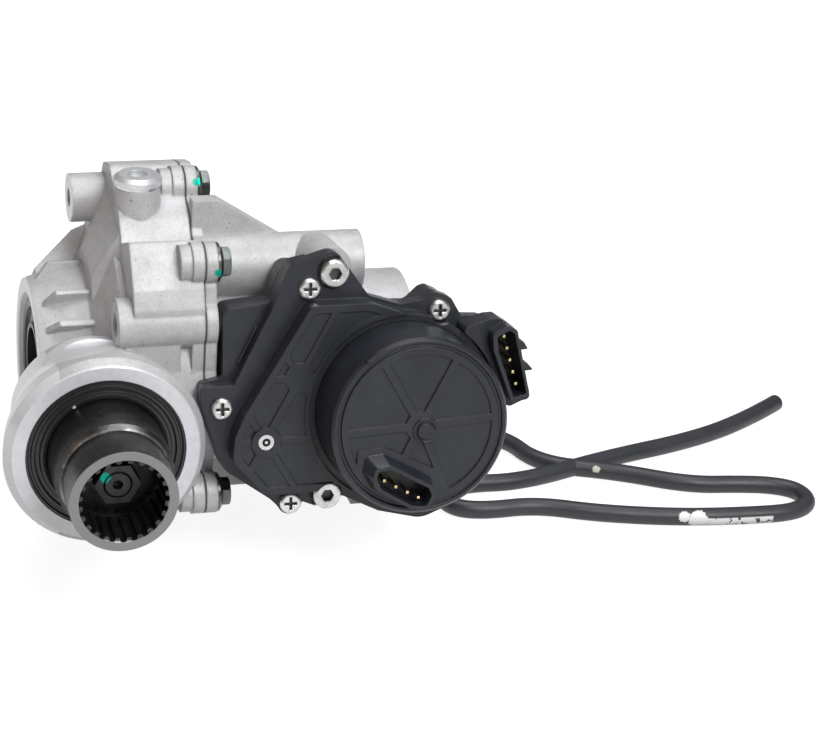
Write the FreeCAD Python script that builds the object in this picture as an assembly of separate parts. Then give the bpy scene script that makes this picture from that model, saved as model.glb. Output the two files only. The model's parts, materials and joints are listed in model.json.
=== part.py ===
import FreeCAD
import Part

import math
import os

from FreeCAD import Rotation, Vector

# Front differential of a small off-road vehicle: two-piece cast case, bevel gear set, spider differential,
# sliding lock collar, and the electric actuator that shifts it, with its vent hose.
# Millimetres. The origin is the centre of the input coupling's mouth. +Y runs along the input axis
# into the case, +X along the output axis towards the actuator, +Z is up.

os.makedirs("parts", exist_ok=True)

X = Vector(1, 0, 0)
Y = Vector(0, 1, 0)
Z = Vector(0, 0, 1)
ORIGIN = Vector(0, 0, 0)

# Main axes and case
axle_y = 136.0
left_face_x = -20.0
seam_x = 46.0
flange_thickness = 5.0
gasket_thickness = 0.8
right_face_x = 152.0
gear_chamber_radius = 63.0
case_wall = 6.0
output_boss_radius = 40.0
right_boss_radius = 37.0
lock_chamber_radius = 36.0
lock_chamber_end_x = 122.0
nose_face_y = 43.7
nose_radius = 43.0
nose_machined_radius = 39.7
nose_depth = 92.0

# Input side
coupling_radius = 22.5
coupling_journal_radius = 24.8
coupling_shoulder_y = 20.0
coupling_cup_depth = 24.0
coupling_end_y = 55.6
spline_teeth = 24
spline_module = 1.5
input_seal_radius = 34.0
input_seal_width = 10.0
input_bearing_bore = 15.0
input_bearing_radius = 31.0
input_bearing_width = 17.0
input_bearing_y = 56.0

# Bevel gear set
gear_module = 3.0
ring_teeth = 37
pinion_teeth = 12
ring_face_width = 17.0
ring_back_x = 27.0
ring_bore_radius = 36.5

# Output side
output_seal_radius = 31.0
output_seal_bore = 17.6
output_seal_width = 8.0
carrier_bearing_width = 14.0
left_bearing_x = -9.0
right_bearing_x = 66.0
carrier_outer_radius = 34.0
carrier_inner_radius = 28.5
carrier_left_x = 5.4
spider_centre_x = 38.0

# Running and assembly clearances
running = 0.05
seat = 0.02
gap = 0.4

# Lock mechanism
collar_x = 95.6
collar_width = 20.0
collar_radius = 25.0
groove_radius = 20.5
groove_width = 7.0

# Actuator: centre of the motor cover's front face, tilted back about X
actuator_x = 130.0
actuator_y = 21.5
actuator_z = 14.8
actuator_tilt = 9.0
motor_cover_radius = 38.8
motor_cover_depth = 26.0
gear_cover_face = -26.0
gear_cover_flange = -36.0
mount_plane = -43.0
housing_back = -58.0

AXLE = Vector(0, axle_y, 0)
TILT = math.radians(actuator_tilt)
ACTUATOR = Vector(actuator_x, actuator_y, actuator_z)
ACROSS = X
UPWARD = Vector(0, math.sin(TILT), math.cos(TILT))
OUTWARD = Vector(0, -math.cos(TILT), math.sin(TILT))


# Helpers

def placed(shape, base, axis):
    shape.Placement = FreeCAD.Placement(base, Rotation(Z, axis))
    return shape


def rod(radius, base, axis, length):
    return Part.makeCylinder(radius, length, base, axis)


def tube(outer, inner, base, axis, length):
    return rod(outer, base, axis, length).cut(rod(inner, base - axis * 1.0, axis, length + 2.0))


def turned(outline, base, axis):
    """Solid of revolution from (distance along the axis, radius) corners."""
    corners = [Vector(radius, 0, along) for along, radius in outline]
    face = Part.Face(Part.makePolygon(corners + corners[:1]))
    return placed(face.revolve(ORIGIN, Z, 360), base, axis)


def rounded_wire(corners, to_space):
    """Closed outline of (u, v, corner radius) corners, straight between rounded corners."""
    edges = []
    starts = []
    ends = []
    mids = []
    count = len(corners)
    for i in range(count):
        u, v, radius = corners[i]
        before = corners[i - 1]
        after = corners[(i + 1) % count]
        here = Vector(u, v, 0)
        back = (Vector(before[0], before[1], 0) - here).normalize()
        ahead = (Vector(after[0], after[1], 0) - here).normalize()
        half = back.getAngle(ahead) / 2
        if radius <= 0:
            starts.append(here)
            ends.append(here)
            mids.append(None)
            continue
        reach = radius / math.tan(half)
        middle = (back + ahead).normalize()
        centre = here + middle * (radius / math.sin(half))
        starts.append(here + back * reach)
        ends.append(here + ahead * reach)
        mids.append(centre - middle * radius)
    for i in range(count):
        after = (i + 1) % count
        if mids[i] is not None:
            edges.append(Part.Arc(to_space(starts[i]), to_space(mids[i]), to_space(ends[i])).toShape())
        if (starts[after] - ends[i]).Length > 1e-6:
            edges.append(Part.LineSegment(to_space(ends[i]), to_space(starts[after])).toShape())
    return Part.Wire(edges)


def plate_yz(corners, x_from, x_to):
    """Plate with a (y, z, radius) outline, from one X to another."""
    wire = rounded_wire(corners, lambda p: Vector(x_from, p.x, p.y))
    return Part.Face(wire).extrude(X * (x_to - x_from))


def plate_xz(corners, y_from, y_to):
    """Plate with an (x, z, radius) outline, from one Y to another."""
    wire = rounded_wire(corners, lambda p: Vector(p.x, y_from, p.y))
    return Part.Face(wire).extrude(Y * (y_to - y_from))


def actuator_point(u, v, w):
    return ACTUATOR + ACROSS * u + UPWARD * v + OUTWARD * w


def actuator_plate(corners, w_from, w_to):
    """Plate with a (u, v, radius) outline in the actuator's plane, from one depth to another."""
    wire = rounded_wire(corners, lambda p: actuator_point(p.x, p.y, w_from))
    return Part.Face(wire).extrude(OUTWARD * (w_to - w_from))


def actuator_rod(radius, u, v, w_from, w_to):
    return rod(radius, actuator_point(u, v, w_from), OUTWARD, w_to - w_from)


def joined(shapes):
    first = shapes[0]
    if len(shapes) == 1:
        return first
    return first.fuse(shapes[1:]).removeSplitter()


def carved(shape, tools):
    return shape.cut(tools)


def hexagon(across_flats, base, axis, length):
    radius = across_flats / math.sqrt(3)
    corners = [Vector(radius * math.cos(math.radians(60 * i)), radius * math.sin(math.radians(60 * i)), 0)
               for i in range(6)]
    prism = Part.Face(Part.makePolygon(corners + corners[:1])).extrude(Z * length)
    return placed(prism, base, axis)


def save(name, shape):
    solids = shape if isinstance(shape, list) else [shape]
    flat = []
    for item in solids:
        flat.extend(item.Solids)
    result = flat[0] if len(flat) == 1 else Part.makeCompound(flat)
    result.exportStep("parts/" + name + ".step")


# Gear teeth

def involute_flank(pitch_radius, base_radius, root_radius, tip_radius, half_thickness_angle, steps):
    """Points (radius, angle from the tooth's centre line) of one flank, root to tip."""
    def spread(radius):
        if radius <= base_radius:
            return 0.0
        return math.sqrt((radius / base_radius) ** 2 - 1) - math.acos(base_radius / radius)
    start = max(root_radius, base_radius)
    points = [(root_radius, half_thickness_angle + spread(pitch_radius))] if root_radius < base_radius else []
    for i in range(steps + 1):
        radius = start + (tip_radius - start) * i / steps
        points.append((radius, half_thickness_angle + spread(pitch_radius) - spread(radius)))
    return points


def spur_outline(teeth, module, addendum, dedendum, backlash, steps, phase):
    """Closed polygon of a spur gear, as (x, y) pairs; a tooth is centred on the phase angle."""
    pitch_radius = teeth * module / 2
    flank = involute_flank(pitch_radius, pitch_radius * math.cos(math.radians(20)), pitch_radius - dedendum,
                           pitch_radius + addendum, math.pi / (2 * teeth) - backlash / (2 * pitch_radius), steps)
    points = []
    for i in range(teeth):
        centre = phase + 2 * math.pi * i / teeth
        for radius, angle in flank:
            points.append((radius * math.cos(centre - angle), radius * math.sin(centre - angle)))
        for radius, angle in reversed(flank):
            points.append((radius * math.cos(centre + angle), radius * math.sin(centre + angle)))
    return points


def toothed(outline, to_space, direction):
    corners = [to_space(px, py) for px, py in outline]
    return Part.Face(Part.makePolygon(corners + corners[:1])).extrude(direction)


def bevel_teeth(teeth, mate_teeth, module, face_width, addendum, dedendum, backlash, phase):
    """Straight bevel teeth about +Z with the cone's apex at the origin and the teeth at positive Z.

    Each tooth's outer end is drawn on the tangent plane of the back cone, and its inner end is the same
    outline scaled towards the apex, so that every flank runs through the apex."""
    pitch_radius = teeth * module / 2
    cone = math.atan2(teeth, mate_teeth)
    cone_length = pitch_radius / math.sin(cone)
    virtual_radius = pitch_radius / math.cos(cone)
    thickness_angle = (math.pi * module / 4 - backlash / 2) / virtual_radius
    flank = involute_flank(virtual_radius, virtual_radius * math.cos(math.radians(22.5)),
                           virtual_radius - dedendum, virtual_radius + addendum, thickness_angle, 2)
    inner_scale = (cone_length - face_width) / cone_length
    sunk = [(virtual_radius - dedendum - 0.6 * module, flank[0][1])] + flank
    solids = []
    for i in range(teeth):
        turn = phase + 2 * math.pi * i / teeth
        outer = []
        for side in (-1, 1):
            ordered = sunk if side < 0 else list(reversed(sunk))
            for radius, angle in ordered:
                across = radius * math.sin(angle) * side
                above = radius * math.cos(angle) - virtual_radius
                r = pitch_radius + above * math.cos(cone)
                z = pitch_radius / math.tan(cone) - above * math.sin(cone)
                outer.append(Vector(r * math.cos(turn) - across * math.sin(turn),
                                    r * math.sin(turn) + across * math.cos(turn), z))
        inner = [p * inner_scale for p in outer]
        wires = [Part.makePolygon(loop + loop[:1]) for loop in (outer, inner)]
        solids.append(Part.makeLoft(wires, True, True))
    return solids


def bevel_blank(teeth, mate_teeth, module, face_width, dedendum, bore_radius, back):
    """Cone body under the teeth, from the inner end to a flat back `back` beyond the outer root."""
    pitch_radius = teeth * module / 2
    cone = math.atan2(teeth, mate_teeth)
    cone_length = pitch_radius / math.sin(cone)
    outer_r = pitch_radius - dedendum * math.cos(cone)
    outer_z = pitch_radius / math.tan(cone) + dedendum * math.sin(cone)
    scale = (cone_length - face_width) / cone_length
    inner_r = outer_r * scale
    inner_z = outer_z * scale
    bore = min(bore_radius, inner_r - 0.5)
    outline = [(inner_z, bore), (inner_z, inner_r), (outer_z, outer_r), (outer_z + back, outer_r),
               (outer_z + back, bore)]
    return turned(outline, ORIGIN, Z)


# Case castings

tower_left_x = 15.5
flange_bolts = [(130.0, 86.0), (82.0, 69.0), (66.0, -33.0), (190.0, -53.0), (210.0, 8.0), (188.0, 53.0)]
flange_bolt_radius = 4.0
bolt_boss_radius = 9.0
bolt_boss_length = 10.0
bolt_shank_length = 14.0
bolt_head_height = 6.2
front_mount = (80.0, 43.0)
front_mount_radius = 11.4
front_mount_bore = 5.25
front_mount_left_x = 9.0
upper_mount = (152.0, 74.0)
upper_mount_radius = 10.9
upper_mount_bore = 4.25
upper_mount_left_x = 0.0
upper_mount_depth = 18.0
tube_mount = (105.0, 57.8)
tube_mount_radius = 13.6
tube_mount_bore = 6.1
tube_mount_end_x = 121.5
tube_bore_depth = 40.0
spot_face_radius = 9.5
filler_place = (25.0, 120.0)
filler_boss_radius = 9.8
filler_top_z = 91.0
filler_bore_radius = 7.0
drain_place = (29.0, 150.0)
floor_z = -70.0
rib_angles = [84.0, 115.0, 134.0, 165.0, 196.0, 227.0, 258.0, 289.0, 320.0, 351.0, 22.0]
rib_thickness = 2.6
rib_radius = 48.5
hub_radius = 41.0
output_shaft_u = -61.0
output_shaft_v = -11.0
shaft_boss_radius = 16.0
shaft_bore_radius = 12.0
shift_shaft_radius = 4.0
rail_drop = 11.0
rail_depth = -70.0
rail_radius = 5.0
main_screw_places = [(-29.8, 60.0), (-32.0, -39.0)]
main_screw_radius = 4.0
main_boss_radius = 9.8

RAIL = actuator_point(output_shaft_u, output_shaft_v + rail_drop, rail_depth)


def seam_flange(x_from, x_to):
    disc = rod(gear_chamber_radius + case_wall, AXLE + X * x_from, X, x_to - x_from)
    front = plate_yz([(71, -46, 8), (71, 40, 4), (76, 60, 3), (86, 76, 3), (105, 70, 2), (111, 79, 4),
                      (138, 94, 8), (154, 90, 8), (172, 62, 6), (136, 20, 0), (110, -56, 0)], x_from, x_to)
    bosses = [rod(bolt_boss_radius, Vector(x_from, y, z), X, x_to - x_from) for y, z in flange_bolts]
    mount = rod(front_mount_radius, Vector(x_from, front_mount[0], front_mount[1]), X, x_to - x_from)
    return joined([disc, front, mount] + bosses)


def gear_chamber(x_to):
    return turned([(5.0, 0), (5.0, 38.0), (9.0, 44.0), (9.5, 50.0), (14.0, 60.0), (17.0, gear_chamber_radius),
                   (x_to, gear_chamber_radius), (x_to, 0)], AXLE, X)


def hub_rib(angle):
    """Radial rib on the left hub, with a sloped outer end; the angle runs from +Y towards +Z."""
    left = left_face_x + 3.5
    wire = Part.makePolygon([Vector(left, 30.0, 0), Vector(left, hub_radius, 0), Vector(left + 5.5, rib_radius, 0),
                             Vector(9.0, rib_radius, 0), Vector(9.0, 30.0, 0), Vector(left, 30.0, 0)])
    rib = Part.Face(wire).extrude(Z * rib_thickness)
    rib.translate(Z * (-rib_thickness / 2))
    rib.rotate(ORIGIN, X, angle)
    rib.translate(AXLE)
    return rib


def case_shoulder():
    """Sloped shoulder between the left hub and the tower."""
    wire = Part.makePolygon([Vector(-14.0, 40.0, 0), Vector(-14.0, 44.5, 0), Vector(4.0, 61.5, 0), Vector(16.0, 66.0, 0),
                             Vector(16.0, 40.0, 0), Vector(-14.0, 40.0, 0)])
    shoulder = Part.Face(wire).revolve(ORIGIN, X, 24.0)
    shoulder.rotate(ORIGIN, X, 34.0)
    shoulder.translate(AXLE)
    return shoulder


def main_case():
    outer = gear_chamber_radius + case_wall
    shell = turned([(left_face_x, 0), (left_face_x, output_boss_radius), (left_face_x + 3.5, hub_radius),
                    (3.0, 46.0), (6.5, 53.0), (12.5, outer), (seam_x, outer), (seam_x, 0)], AXLE, X)
    nose = turned([(nose_face_y, 0), (nose_face_y, nose_machined_radius), (nose_face_y + 3.5, nose_radius),
                   (57.0, nose_radius - 1.5), (72.0, 37.0), (90.0, 34.0), (nose_depth + 9.0, 24.0),
                   (nose_depth + 9.0, 0)], ORIGIN, Y)
    tower = plate_yz([(95, 40, 0), (105, 70, 2), (111, 79, 4), (138, 94, 8), (154, 90, 8), (172, 62, 6),
                      (150, 40, 0)], tower_left_x, seam_x)
    skirt = Part.makeLoft([rounded_wire([(100, 36, 0), (108, 74, 0), (146, 84, 0), (158, 62, 0), (150, 30, 0)],
                                        lambda p: Vector(tower_left_x, p.x, p.y)),
                           rounded_wire([(108, 30, 0), (113, 52, 0), (140, 56, 0), (152, 46, 0), (148, 26, 0)],
                                        lambda p: Vector(4.0, p.x, p.y))], True, True)
    front = plate_yz([(71, -46, 8), (71, 46, 3), (100, 46, 0), (100, -46, 0)], 12.0, seam_x - 10.0)
    recess = plate_yz([(79, -44, 4), (79, 46, 0), (100, 46, 0), (100, -44, 0)], seam_x - 10.0, seam_x)
    block = plate_yz([(70.5, 36, 3), (70.5, 52, 4), (74, 60.5, 3), (87, 77.5, 1.5), (105, 70, 0), (116, 62, 0),
                      (110, 30, 0)], tower_left_x, seam_x)
    pieces = [shell, nose, tower, skirt, front, recess, block, case_shoulder(), seam_flange(seam_x - 5.0, seam_x)]
    pieces.append(rod(front_mount_radius, Vector(front_mount_left_x, front_mount[0], front_mount[1]), X,
                      seam_x - front_mount_left_x))
    pieces.append(rod(upper_mount_radius, Vector(upper_mount_left_x, upper_mount[0], upper_mount[1]), X, 24.0))
    pieces.append(rod(filler_boss_radius, Vector(filler_place[0], filler_place[1], 60.0), Z, filler_top_z - 60.0))
    for y, z in flange_bolts:
        pieces.append(rod(bolt_boss_radius - 1.0, Vector(seam_x - bolt_boss_length, y, z), X, bolt_boss_length))
    pieces.extend(hub_rib(angle) for angle in rib_angles)
    pieces.append(plate_yz([(118, floor_z, 2), (176, floor_z, 2), (176, -48, 0), (118, -54, 0)], 12.0, 44.0))
    pieces.append(plate_yz([(90, floor_z, 2), (126, floor_z, 2), (126, -46, 0), (104, -40, 0), (90, -32, 0)],
                           8.0, 28.0))
    body = joined(pieces)
    cuts = [gear_chamber(seam_x + 1.0)]
    cuts.append(turned([(left_face_x - 1.0, 0), (left_face_x - 1.0, output_seal_radius + 3.0),
                        (left_face_x, output_seal_radius + 3.0), (left_face_x + 2.0, output_seal_radius),
                        (6.0, output_seal_radius), (6.0, 0)], AXLE, X))
    cuts.append(turned([(nose_face_y - 1.0, 0), (nose_face_y - 1.0, input_seal_radius),
                        (input_bearing_y - 0.4, input_seal_radius), (input_bearing_y - 0.4, input_bearing_radius),
                        (input_bearing_y + input_bearing_width, input_bearing_radius),
                        (input_bearing_y + input_bearing_width, 26.0), (82.0, 22.6), (98.5, 17.5), (98.5, 0)],
                       ORIGIN, Y))
    cuts.append(rod(front_mount_bore, Vector(0, front_mount[0], front_mount[1]), X, 60.0))
    cuts.append(rod(spot_face_radius, Vector(front_mount_left_x, front_mount[0], front_mount[1]), -X, 50.0))
    cuts.append(rod(upper_mount_bore, Vector(upper_mount_left_x - 1.0, upper_mount[0], upper_mount[1]), X,
                    upper_mount_depth + 1.0))
    cuts.append(rod(filler_bore_radius, Vector(filler_place[0], filler_place[1], 50.0), Z, 50.0))
    cuts.append(rod(filler_bore_radius, Vector(drain_place[0], drain_place[1], floor_z - 1.0), Z, 20.0))
    for y, z in flange_bolts:
        cuts.append(rod(flange_bolt_radius + seat, Vector(seam_x - 9.0, y, z), X, 10.0))
    for y, z in dowel_places:
        cuts.append(rod(dowel_radius + seat, Vector(seam_x - 6.0, y, z), X, 8.0))
    return carved(body, cuts)


dowel_places = [(74.0, -8.0), (203.0, -18.0)]
dowel_radius = 2.0


def side_cover():
    start = seam_x + gasket_thickness
    flange_end = start + flange_thickness
    outer = lock_chamber_radius + case_wall
    dome = turned([(start, 0), (start, 62.0), (flange_end, 57.5), (56.0, 50.0), (66.0, outer + 3.0), (70.0, outer),
                   (lock_chamber_end_x - 4.0, outer), (lock_chamber_end_x + 2.0, right_boss_radius),
                   (right_face_x, right_boss_radius), (right_face_x, 0)], AXLE, X)
    pieces = [seam_flange(start, flange_end), dome]
    pieces.append(rod(tube_mount_radius, Vector(start, tube_mount[0], tube_mount[1]), X, tube_mount_end_x - start))
    pieces.append(plate_yz([(98, 20, 0), (98, 60, 0), (112, 60, 0), (118, 20, 0)], start, tube_mount_end_x - 6.0))
    pieces.append(plate_yz([(86, 30, 2), (86, 44, 2), (104, 44, 0), (104, 30, 0)], start, 78.0))
    pieces.append(plate_xz([(start, 50, 0), (start, 87, 0), (58, 87, 3), (88, 68, 0), (88, 50, 0)], 108.0, 115.0))
    u, v = main_screw_places[0]
    pieces.append(actuator_rod(main_boss_radius, u, v, mount_plane - 28.0, mount_plane))
    u, v = main_screw_places[1]
    pieces.append(actuator_rod(main_boss_radius - 2.0, u, v, mount_plane - 68.0, mount_plane))
    pieces.append(plate_yz([(76, -42, 0), (76, -31, 0), (100, -10, 0), (120, -20, 0), (125, -44, 0)], 96.0, 103.0))
    pieces.append(actuator_rod(shaft_boss_radius, output_shaft_u, output_shaft_v, -84.0, housing_back - 0.5))
    pieces.append(plate_yz([(81.3, -8, 4), (81.3, 16, 4), (110, 24, 0), (110, -24, 0)], start + 7.0, 121.0))
    pieces.append(plate_yz([(150, floor_z, 2), (178, floor_z, 2), (178, -46, 2), (150, -30, 0)], start + 14.0, 112.0))
    pieces.append(plate_yz([(128.5, -64, 2), (156, -64, 0), (156, -30, 0), (128.5, -30, 0)], start, 112.0))
    pieces.append(plate_yz([(112.5, floor_z, 2), (129, floor_z, 2), (129, -30, 0), (120, -26, 0), (112.5, -50, 3)],
                           128.0, 150.0))
    body = joined(pieces)
    cuts = [turned([(seam_x - 1.0, 0), (seam_x - 1.0, gear_chamber_radius - 8.0), (49.0, 53.0),
                    (53.0, 43.0), (58.0, 39.0), (right_bearing_x - 0.4, 37.5), (right_bearing_x - 0.4, 34.0),
                    (lock_chamber_end_x, 34.0), (lock_chamber_end_x, right_bearing_outer),
                    (right_seal_x - 1.0, right_bearing_outer), (right_seal_x - 1.0, output_seal_radius),
                    (right_face_x + 1.0, output_seal_radius), (right_face_x + 1.0, 0)], AXLE, X)]
    for y, z in flange_bolts:
        cuts.append(rod(flange_bolt_radius + 0.3, Vector(seam_x, y, z), X, 20.0))
        cuts.append(rod(bolt_boss_radius, Vector(flange_end, y, z), X, 14.0))
    for y, z in dowel_places:
        cuts.append(rod(dowel_radius + seat, Vector(seam_x, y, z), X, 5.0))
    cuts.append(rod(front_mount_bore, Vector(seam_x, front_mount[0], front_mount[1]), X, 60.0))
    cuts.append(rod(tube_mount_bore, Vector(tube_mount_end_x + 1.0, tube_mount[0], tube_mount[1]), -X,
                    tube_bore_depth + 1.0))
    for u, v in main_screw_places:
        cuts.append(actuator_rod(main_screw_radius + seat, u, v, mount_plane - 24.0, mount_plane + 1.0))
    cuts.append(actuator_rod(shaft_bore_radius + seat, output_shaft_u, output_shaft_v, -64.0, housing_back + 1.0))
    cuts.append(actuator_rod(9.0, output_shaft_u, output_shaft_v, -76.0, -60.0))
    cuts.append(actuator_rod(shift_shaft_radius + running, output_shaft_u, output_shaft_v, -80.0, -60.0))
    cuts.append(rod(rail_radius + running, Vector(54.0, RAIL.y, RAIL.z), X, 65.0))
    cuts.append(rod(4.0 + seat, fitting_base - X * 10.0, X, 12.0))
    cuts.append(rod(fork_hub_radius + 0.8, Vector(fork_x - 16.0, RAIL.y, RAIL.z), X, 24.0))
    cuts.append(plate_yz([(RAIL.y, -8, 0), (RAIL.y, 14, 0), (112, 16, 0), (112, -12, 0)], fork_x - 16.0, fork_x + 8.0))
    return carved(body, cuts)


right_bearing_outer = 27.5
right_seal_x = 143.5
fork_x = collar_x + collar_width / 2
fork_hub_radius = 7.0


def case_gasket():
    sheet = seam_flange(seam_x, seam_x + gasket_thickness)
    cuts = [rod(gear_chamber_radius - 0.5, AXLE + X * (seam_x - 1.0), X, 4.0)]
    for y, z in flange_bolts:
        cuts.append(rod(flange_bolt_radius + 0.3, Vector(seam_x - 1.0, y, z), X, 4.0))
    for y, z in dowel_places:
        cuts.append(rod(dowel_radius + 0.3, Vector(seam_x - 1.0, y, z), X, 4.0))
    cuts.append(rod(front_mount_bore, Vector(seam_x - 1.0, front_mount[0], front_mount[1]), X, 4.0))
    return carved(sheet, cuts)


def flange_bolt(base, axis, shank_radius, shank_length, across_flats, head_height):
    """Hex flange bolt; base is under the flange, the head stands out along the axis."""
    washer_face = turned([(0, 0), (0, across_flats * 0.72), (1.2, across_flats * 0.72),
                          (2.6, across_flats * 0.56), (2.6, 0)], base, axis)
    head = hexagon(across_flats, base, axis, head_height).common(
        turned([(0, 0), (0, across_flats), (head_height - 1.0, across_flats * 0.6),
                (head_height, across_flats * 0.5), (head_height, 0)], base, axis))
    recess = rod(across_flats * 0.34, base + axis * (head_height - 1.0), axis, 2.0)
    shank = rod(shank_radius, base - axis * shank_length, axis, shank_length)
    return joined([washer_face, head, shank]).cut(recess)


def cover_bolts():
    base_x = seam_x + gasket_thickness + flange_thickness
    return [flange_bolt(Vector(base_x, y, z), X, flange_bolt_radius, bolt_shank_length, 12.0, bolt_head_height)
            for y, z in flange_bolts]


def dowel_pins():
    return [rod(dowel_radius, Vector(seam_x - 5.5, y, z), X, 10.0) for y, z in dowel_places]


def fill_plug():
    x, y = filler_place
    base = Vector(x, y, filler_top_z + 1.2)
    cap = turned([(0, 0), (0, 10.4), (2.4, 10.4), (4.0, 8.4), (4.0, 0)], base, Z)
    shank = rod(filler_bore_radius - 0.1, base - Z * 13.0, Z, 13.0)
    return joined([cap, shank]).cut(hexagon(8.0, base + Z * 0.6, Z, 4.0))


def fill_plug_washer():
    x, y = filler_place
    return tube(10.0, filler_bore_radius, Vector(x, y, filler_top_z), Z, 1.2)


def drain_plug():
    x, y = drain_place
    return rod(filler_bore_radius - 0.1, Vector(x, y, floor_z + 1.0), Z, 12.0).cut(
        hexagon(8.0, Vector(x, y, floor_z + 0.5), Z, 5.0))


# Input side

def spline_cut(teeth, module, outward, inward, phase, to_space, direction):
    """Internal spline: the space between its teeth and everything inside them."""
    outline = spur_outline(teeth, module, outward, inward, -0.1, 1, phase)
    return toothed(outline, to_space, direction)


def input_coupling():
    outline = [(0, 0), (0, coupling_radius), (coupling_shoulder_y, coupling_radius),
               (coupling_shoulder_y + 1.6, coupling_journal_radius), (coupling_end_y, coupling_journal_radius),
               (coupling_end_y, 0)]
    body = turned(outline, ORIGIN, Y)
    teeth = spline_cut(spline_teeth, spline_module, 0.55, 0.95, 0.0, lambda a, b: Vector(a, -1.0, b),
                       Y * (coupling_cup_depth - 2.0))
    relief = rod(18.8, Vector(0, coupling_cup_depth - 4.0, 0), Y, 4.0)
    chamfer = turned([(-1.0, 0), (-1.0, 19.4), (0.0, 18.7), (0.7, 18.0), (0.7, 0)], ORIGIN, Y)
    bore = rod(input_bearing_bore + seat, Vector(0, coupling_cup_depth, 0), Y, 60.0)
    return carved(body, [teeth, relief, chamfer, bore])


def coupling_nut():
    base = Vector(0, coupling_cup_depth - 0.5, 0)
    collar = rod(10.4, base, -Y, 1.6)
    nut = hexagon(17.0, base - Y * 1.6, -Y, 6.5)
    return joined([collar, nut]).cut(rod(6.0 + seat, base + Y * 1.0, -Y, 12.0))


def coupling_washer():
    return tube(14.6, 6.3, Vector(0, coupling_cup_depth - 0.5, 0), Y, 0.5)


def pinion_shaft():
    """Stepped shaft with the bevel pinion at its inner end and a thread and centre hole at the other."""
    shaft = turned([(15.2, 0), (15.2, 5.2), (15.8, 5.8), (coupling_cup_depth, 5.8), (coupling_cup_depth, input_bearing_bore),
                    (input_bearing_y + input_bearing_width, input_bearing_bore),
                    (input_bearing_y + input_bearing_width, 21.0),
                    (input_bearing_y + input_bearing_width + 4.0, 21.0),
                    (input_bearing_y + input_bearing_width + 6.0, 14.0), (82.0, 14.0), (82.0, 0)], ORIGIN, Y)
    blank = bevel_blank(pinion_teeth, ring_teeth, gear_module, ring_face_width, 1.0 * gear_module, 0.0, 1.0)
    teeth = bevel_teeth(pinion_teeth, ring_teeth, gear_module, ring_face_width, 0.75 * gear_module,
                        1.0 * gear_module, 0.25, 0.0)
    head = joined([blank] + teeth)
    head = placed(head, AXLE, -Y)
    centre_hole = turned([(15.0, 0), (15.0, 2.1), (19.0, 2.1), (20.5, 0)], ORIGIN, Y)
    return joined([shaft, head]).cut(centre_hole)


def input_seal():
    start = nose_face_y + 0.6
    lip = coupling_journal_radius + 0.3
    return turned([(start + 0.6, lip), (start, lip + 1.4), (start, 27.6), (start + 1.2, 28.2), (start + 1.2, 29.6),
                   (start + 0.2, 30.2), (start + 0.2, 31.4), (start + 1.0, 31.8), (start + 1.0, 32.6),
                   (start, 33.0), (start, input_seal_radius - seat), (start + input_seal_width, input_seal_radius - seat),
                   (start + input_seal_width, lip)], ORIGIN, Y)


def bearing(outer, bore, base, axis, width, balls):
    """Ball bearing: outer race and balls; the inner race is a separate piece that turns."""
    middle = (outer + bore) / 2
    third = (outer - bore) * 0.22
    race = tube(outer - seat, outer - third, base, axis, width)
    ball_radius = (outer - bore) / 2 - third + 0.05
    side = axis.cross(Z if abs(axis.z) < 0.5 else X)
    race_groove = Part.makeTorus(middle, ball_radius + 0.06, base + axis * (width / 2), axis)
    race = race.cut(race_groove)
    pieces = [race]
    for i in range(balls):
        spoke = Rotation(axis, 360.0 * i / balls).multVec(side)
        pieces.append(Part.makeSphere(ball_radius, base + axis * (width / 2) + spoke * middle))
    return pieces


def inner_race(outer, bore, base, axis, width):
    third = (outer - bore) * 0.22
    middle = (outer + bore) / 2
    ball_radius = (outer - bore) / 2 - third + 0.05
    race = tube(bore + third, bore + seat, base, axis, width)
    return race.cut(Part.makeTorus(middle, ball_radius + 0.15, base + axis * (width / 2), axis))


def input_bearing():
    return bearing(input_bearing_radius, input_bearing_bore, Y * input_bearing_y, Y, input_bearing_width, 9)


def input_inner_race():
    return inner_race(input_bearing_radius, input_bearing_bore, Y * input_bearing_y, Y, input_bearing_width)


# Differential

carrier_bore = 14.05
flange_radius = 52.0
cap_flange_x = 31.0
journal_radius = 20.0
cavity_left_x = spider_centre_x - 20.0
cavity_right_x = spider_centre_x + 20.0
side_teeth = 16
spider_teeth = 10
diff_module = 2.5
diff_face_width = 8.0
ring_bolt_circle = 44.5
ring_bolts_count = 8
cross_pin_radius = 5.5
cap_end_x = 81.0
dog_count = 4
dog_length = 7.0


def diff_carrier():
    body = turned([(left_bearing_x + 0.3, 0), (left_bearing_x + 0.3, journal_radius), (5.2, journal_radius),
                   (5.2, 24.0), (carrier_left_x + 4.0, carrier_outer_radius), (15.0, carrier_outer_radius),
                   (15.0, ring_bore_radius - seat), (ring_back_x, ring_bore_radius - seat),
                   (ring_back_x, flange_radius), (cap_flange_x, flange_radius), (cap_flange_x, 0)], AXLE, X)
    cuts = [rod(carrier_bore, AXLE - X * 12.0, X, 60.0)]
    cuts.append(rod(carrier_inner_radius, AXLE + X * cavity_left_x, X, 60.0))
    for base in bolt_circle(cap_flange_x - 8.0):
        cuts.append(rod(4.2, base, X, 20.0))
    return carved(body, cuts)


def bolt_circle(x):
    places = []
    for i in range(ring_bolts_count):
        angle = math.radians(360.0 * (i + 0.5) / ring_bolts_count)
        places.append(AXLE + X * x + Y * (ring_bolt_circle * math.cos(angle)) + Z * (ring_bolt_circle * math.sin(angle)))
    return places


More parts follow.
